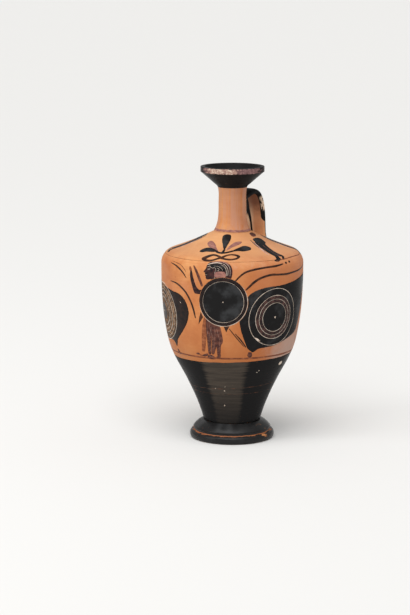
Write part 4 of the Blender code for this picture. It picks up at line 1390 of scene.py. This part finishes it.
def paintFigure():
    look, chart = figureLook, shieldLook["chart"]
    shield = [disc(shieldLook["centre"], shieldLook["hidesFigure"], 160)]
    cuts = [stroke(points, np.multiply(look["cutShares"], width)) for points, width in look["cuts"]]
    folds = [stroke(points, np.multiply(look["foldShares"], width)) for points, width in look["folds"]]
    hair = [handDrawn(blob(look["hair"]), amount=0.15, seed=3.5)]
    brown = [handDrawn(blob(look["arm"]), amount=0.12, seed=1.5), blob(look["head"], 5)]
    robe = [stroke(points, widths) for points, widths in look["tails"] + [look["spear"]]]
    robe += [blob(shoe) for shoe in look["feet"]]
    red = [stroke(points, widths) for points, widths in look["redTails"] + [look["sole"]]]
    red.append(handDrawn(blob(look["hand"]), amount=0.1, seed=2.5))
    threads = [stroke(points, widths) for points, widths in look["threads"]]
    threads += [[np.array(look["point"])], [np.array(look["wedge"])]]
    purple = [handDrawn(blob(look["purple"]), amount=0.2, seed=7.5), stroke(*look["wreath"])]
    coats = [
        ("figurePaint", brown, cuts + shield, "hairGloss", 0.05),
        ("hairPaint", hair, cuts, "denseGloss", 0.065),
        ("figureLines", cuts, shield, "scratchedClay", 0.03),
        ("robePaint", robe, folds + shield, "robeSlip", 0.05),
        ("robeWash", red, folds + shield, "redWash", 0.04),
        ("robeLines", folds, shield, "foldLine", 0.025),
        ("robeThreads", threads, shield, "thinGloss", 0.05),
        ("figureSlip", purple, shield, "purpleSlip", 0.08),
    ]
    for name, paint, scratches, slip, lift in coats:
        layCoat(name, chart, paint, scratches, slip, lift, cell=1.0)


paintFigure()
print("figure painted")

# chips in the black gloss, down to pale clay: turn, level, width and height of each

chipLook = {
    "rag": 0.28,
    "spots": [(58.9, 63.6, 2.2, 1.8), (30.2, 60.4, 0.50, 0.35), (28.2, 59.0, 0.60, 0.28),
              (-9.1, 43.4, 0.60, 0.40), (-8.0, 47.0, 0.35, 0.25), (-11.0, 30.5, 0.40, 0.55),
              (-21.0, 45.2, 0.40, 0.25), (128.0, 57.0, 0.9, 0.5), (200.0, 36.0, 0.6, 0.4),
              (260.0, 62.0, 1.0, 0.6), (-75.0, 50.0, 0.6, 0.4)],
}


def paintChips():
    for index, (turn, level, wide, tall) in enumerate(chipLook["spots"]):
        chart = {"turn": turn, "run": float(np.interp(level, paintSide[:, 1], paintRun))}
        oval = [ringLoop((0, 0), 1.0, 22) * np.array([wide, tall])]
        ragged = handDrawn(oval, amount=chipLook["rag"] * wide, seed=index * 1.7)
        layCoat("glossChip%d" % index, chart, [ragged], [], "scratchedClay", lift=0.085, sink=0.02, cell=0.8)


paintChips()
print("chips marked")

# floor, light and camera

studioLook = {
    "floor": (0.80, 0.795, 0.78), "floorShade": (0.74, 0.73, 0.71), "shadeCover": 0.06, "shadeScale": 3.0,
    "floorRough": 0.9, "floorHalf": 30.0, "world": (1.0, 0.995, 0.985), "worldLight": 0.45,
    "sunPower": 2.45, "sunSpread": 55.0, "sunTurn": 26.5, "sunHeight": 58.0,
    "boxPower": 3.6, "boxSize": (0.45, 0.585), "boxPlace": (-0.617, -1.064, 0.75),
    "boxTarget": (0.0, 0.0, 0.11),
}


def makeFloor():
    look = studioLook
    half = look["floorHalf"]
    shape = bpy.data.meshes.new("floor")
    corners = [(-half, -half, 0.0), (half, -half, 0.0), (half, half, 0.0), (-half, half, 0.0)]
    shape.from_pydata(corners, [], [(0, 1, 2, 3)])
    material, desk, place = newFinish("paleFloor")
    shade = cloud(desk, place, look["shadeScale"]) * look["shadeCover"]
    desk.feed(material.node_tree.nodes["Principled BSDF"], {
        "Base Color": shade.mix(look["floor"], look["floorShade"]), "Roughness": look["floorRough"]})
    shape.materials.append(material)
    addObject("floor", shape)


def makeWorld():
    world = bpy.data.worlds.new("studio")
    bpy.context.scene.world = world
    world.use_nodes = True
    back = world.node_tree.nodes["Background"]
    back.inputs["Color"].default_value = (*studioLook["world"], 1.0)
    back.inputs["Strength"].default_value = studioLook["worldLight"]


def makeSun():
    lamp = bpy.data.lights.new("sun", "SUN")
    lamp.energy = studioLook["sunPower"]
    lamp.angle = math.radians(studioLook["sunSpread"])
    turn, rise = math.radians(studioLook["sunTurn"]), math.radians(studioLook["sunHeight"])
    away = Vector((math.sin(turn) * math.cos(rise), -math.cos(turn) * math.cos(rise), math.sin(rise)))
    addObject("sun", lamp).rotation_euler = away.to_track_quat("Z", "Y").to_euler()


def makeSoftbox():
    lamp = bpy.data.lights.new("softbox", "AREA")
    lamp.shape = "RECTANGLE"
    lamp.size, lamp.size_y = studioLook["boxSize"]
    lamp.energy = studioLook["boxPower"]
    holder = addObject("softbox", lamp)
    holder.location = studioLook["boxPlace"]
    ahead = Vector(studioLook["boxTarget"]) - Vector(studioLook["boxPlace"])
    holder.rotation_euler = ahead.to_track_quat("-Z", "Y").to_euler()


# the photograph's view: from the right of the front, a little above, with the pot right of the middle
# focal length, shift and picture height are in the picture's pixels

cameraLook = {
    "azimuth": 36.5, "distance": 1.549, "height": 0.380, "pitch": 10.13,
    "focal": 2000.0, "shift": 27.6, "pictureHeight": 615.0, "sensor": 36.0,
}


def makeCamera():
    look = cameraLook
    azimuth, pitch = math.radians(look["azimuth"]), math.radians(look["pitch"])
    yaw = math.atan(look["shift"] / look["focal"])
    front = Vector((-math.sin(azimuth), math.cos(azimuth), 0.0))
    side = Vector((math.cos(azimuth), math.sin(azimuth), 0.0))
    ahead = front * math.cos(yaw) - side * math.sin(yaw)
    right = side * math.cos(yaw) + front * math.sin(yaw)
    view = ahead * math.cos(pitch) - Vector((0.0, 0.0, math.sin(pitch)))
    lens = bpy.data.cameras.new("camera")
    lens.sensor_fit = "VERTICAL"
    lens.sensor_height = look["sensor"]
    lens.lens = look["sensor"] * look["focal"] / look["pictureHeight"]
    camera = addObject("camera", lens)
    turn = Matrix((right, right.cross(view), -view)).transposed().to_4x4()
    spot = front * -look["distance"] + Vector((0.0, 0.0, look["height"]))
    camera.matrix_world = Matrix.Translation(spot) @ turn
    bpy.context.scene.camera = camera


makeFloor()
makeWorld()
makeSun()
makeSoftbox()
makeCamera()
bpy.context.scene.view_settings.view_transform = "Standard"
print("studio set")
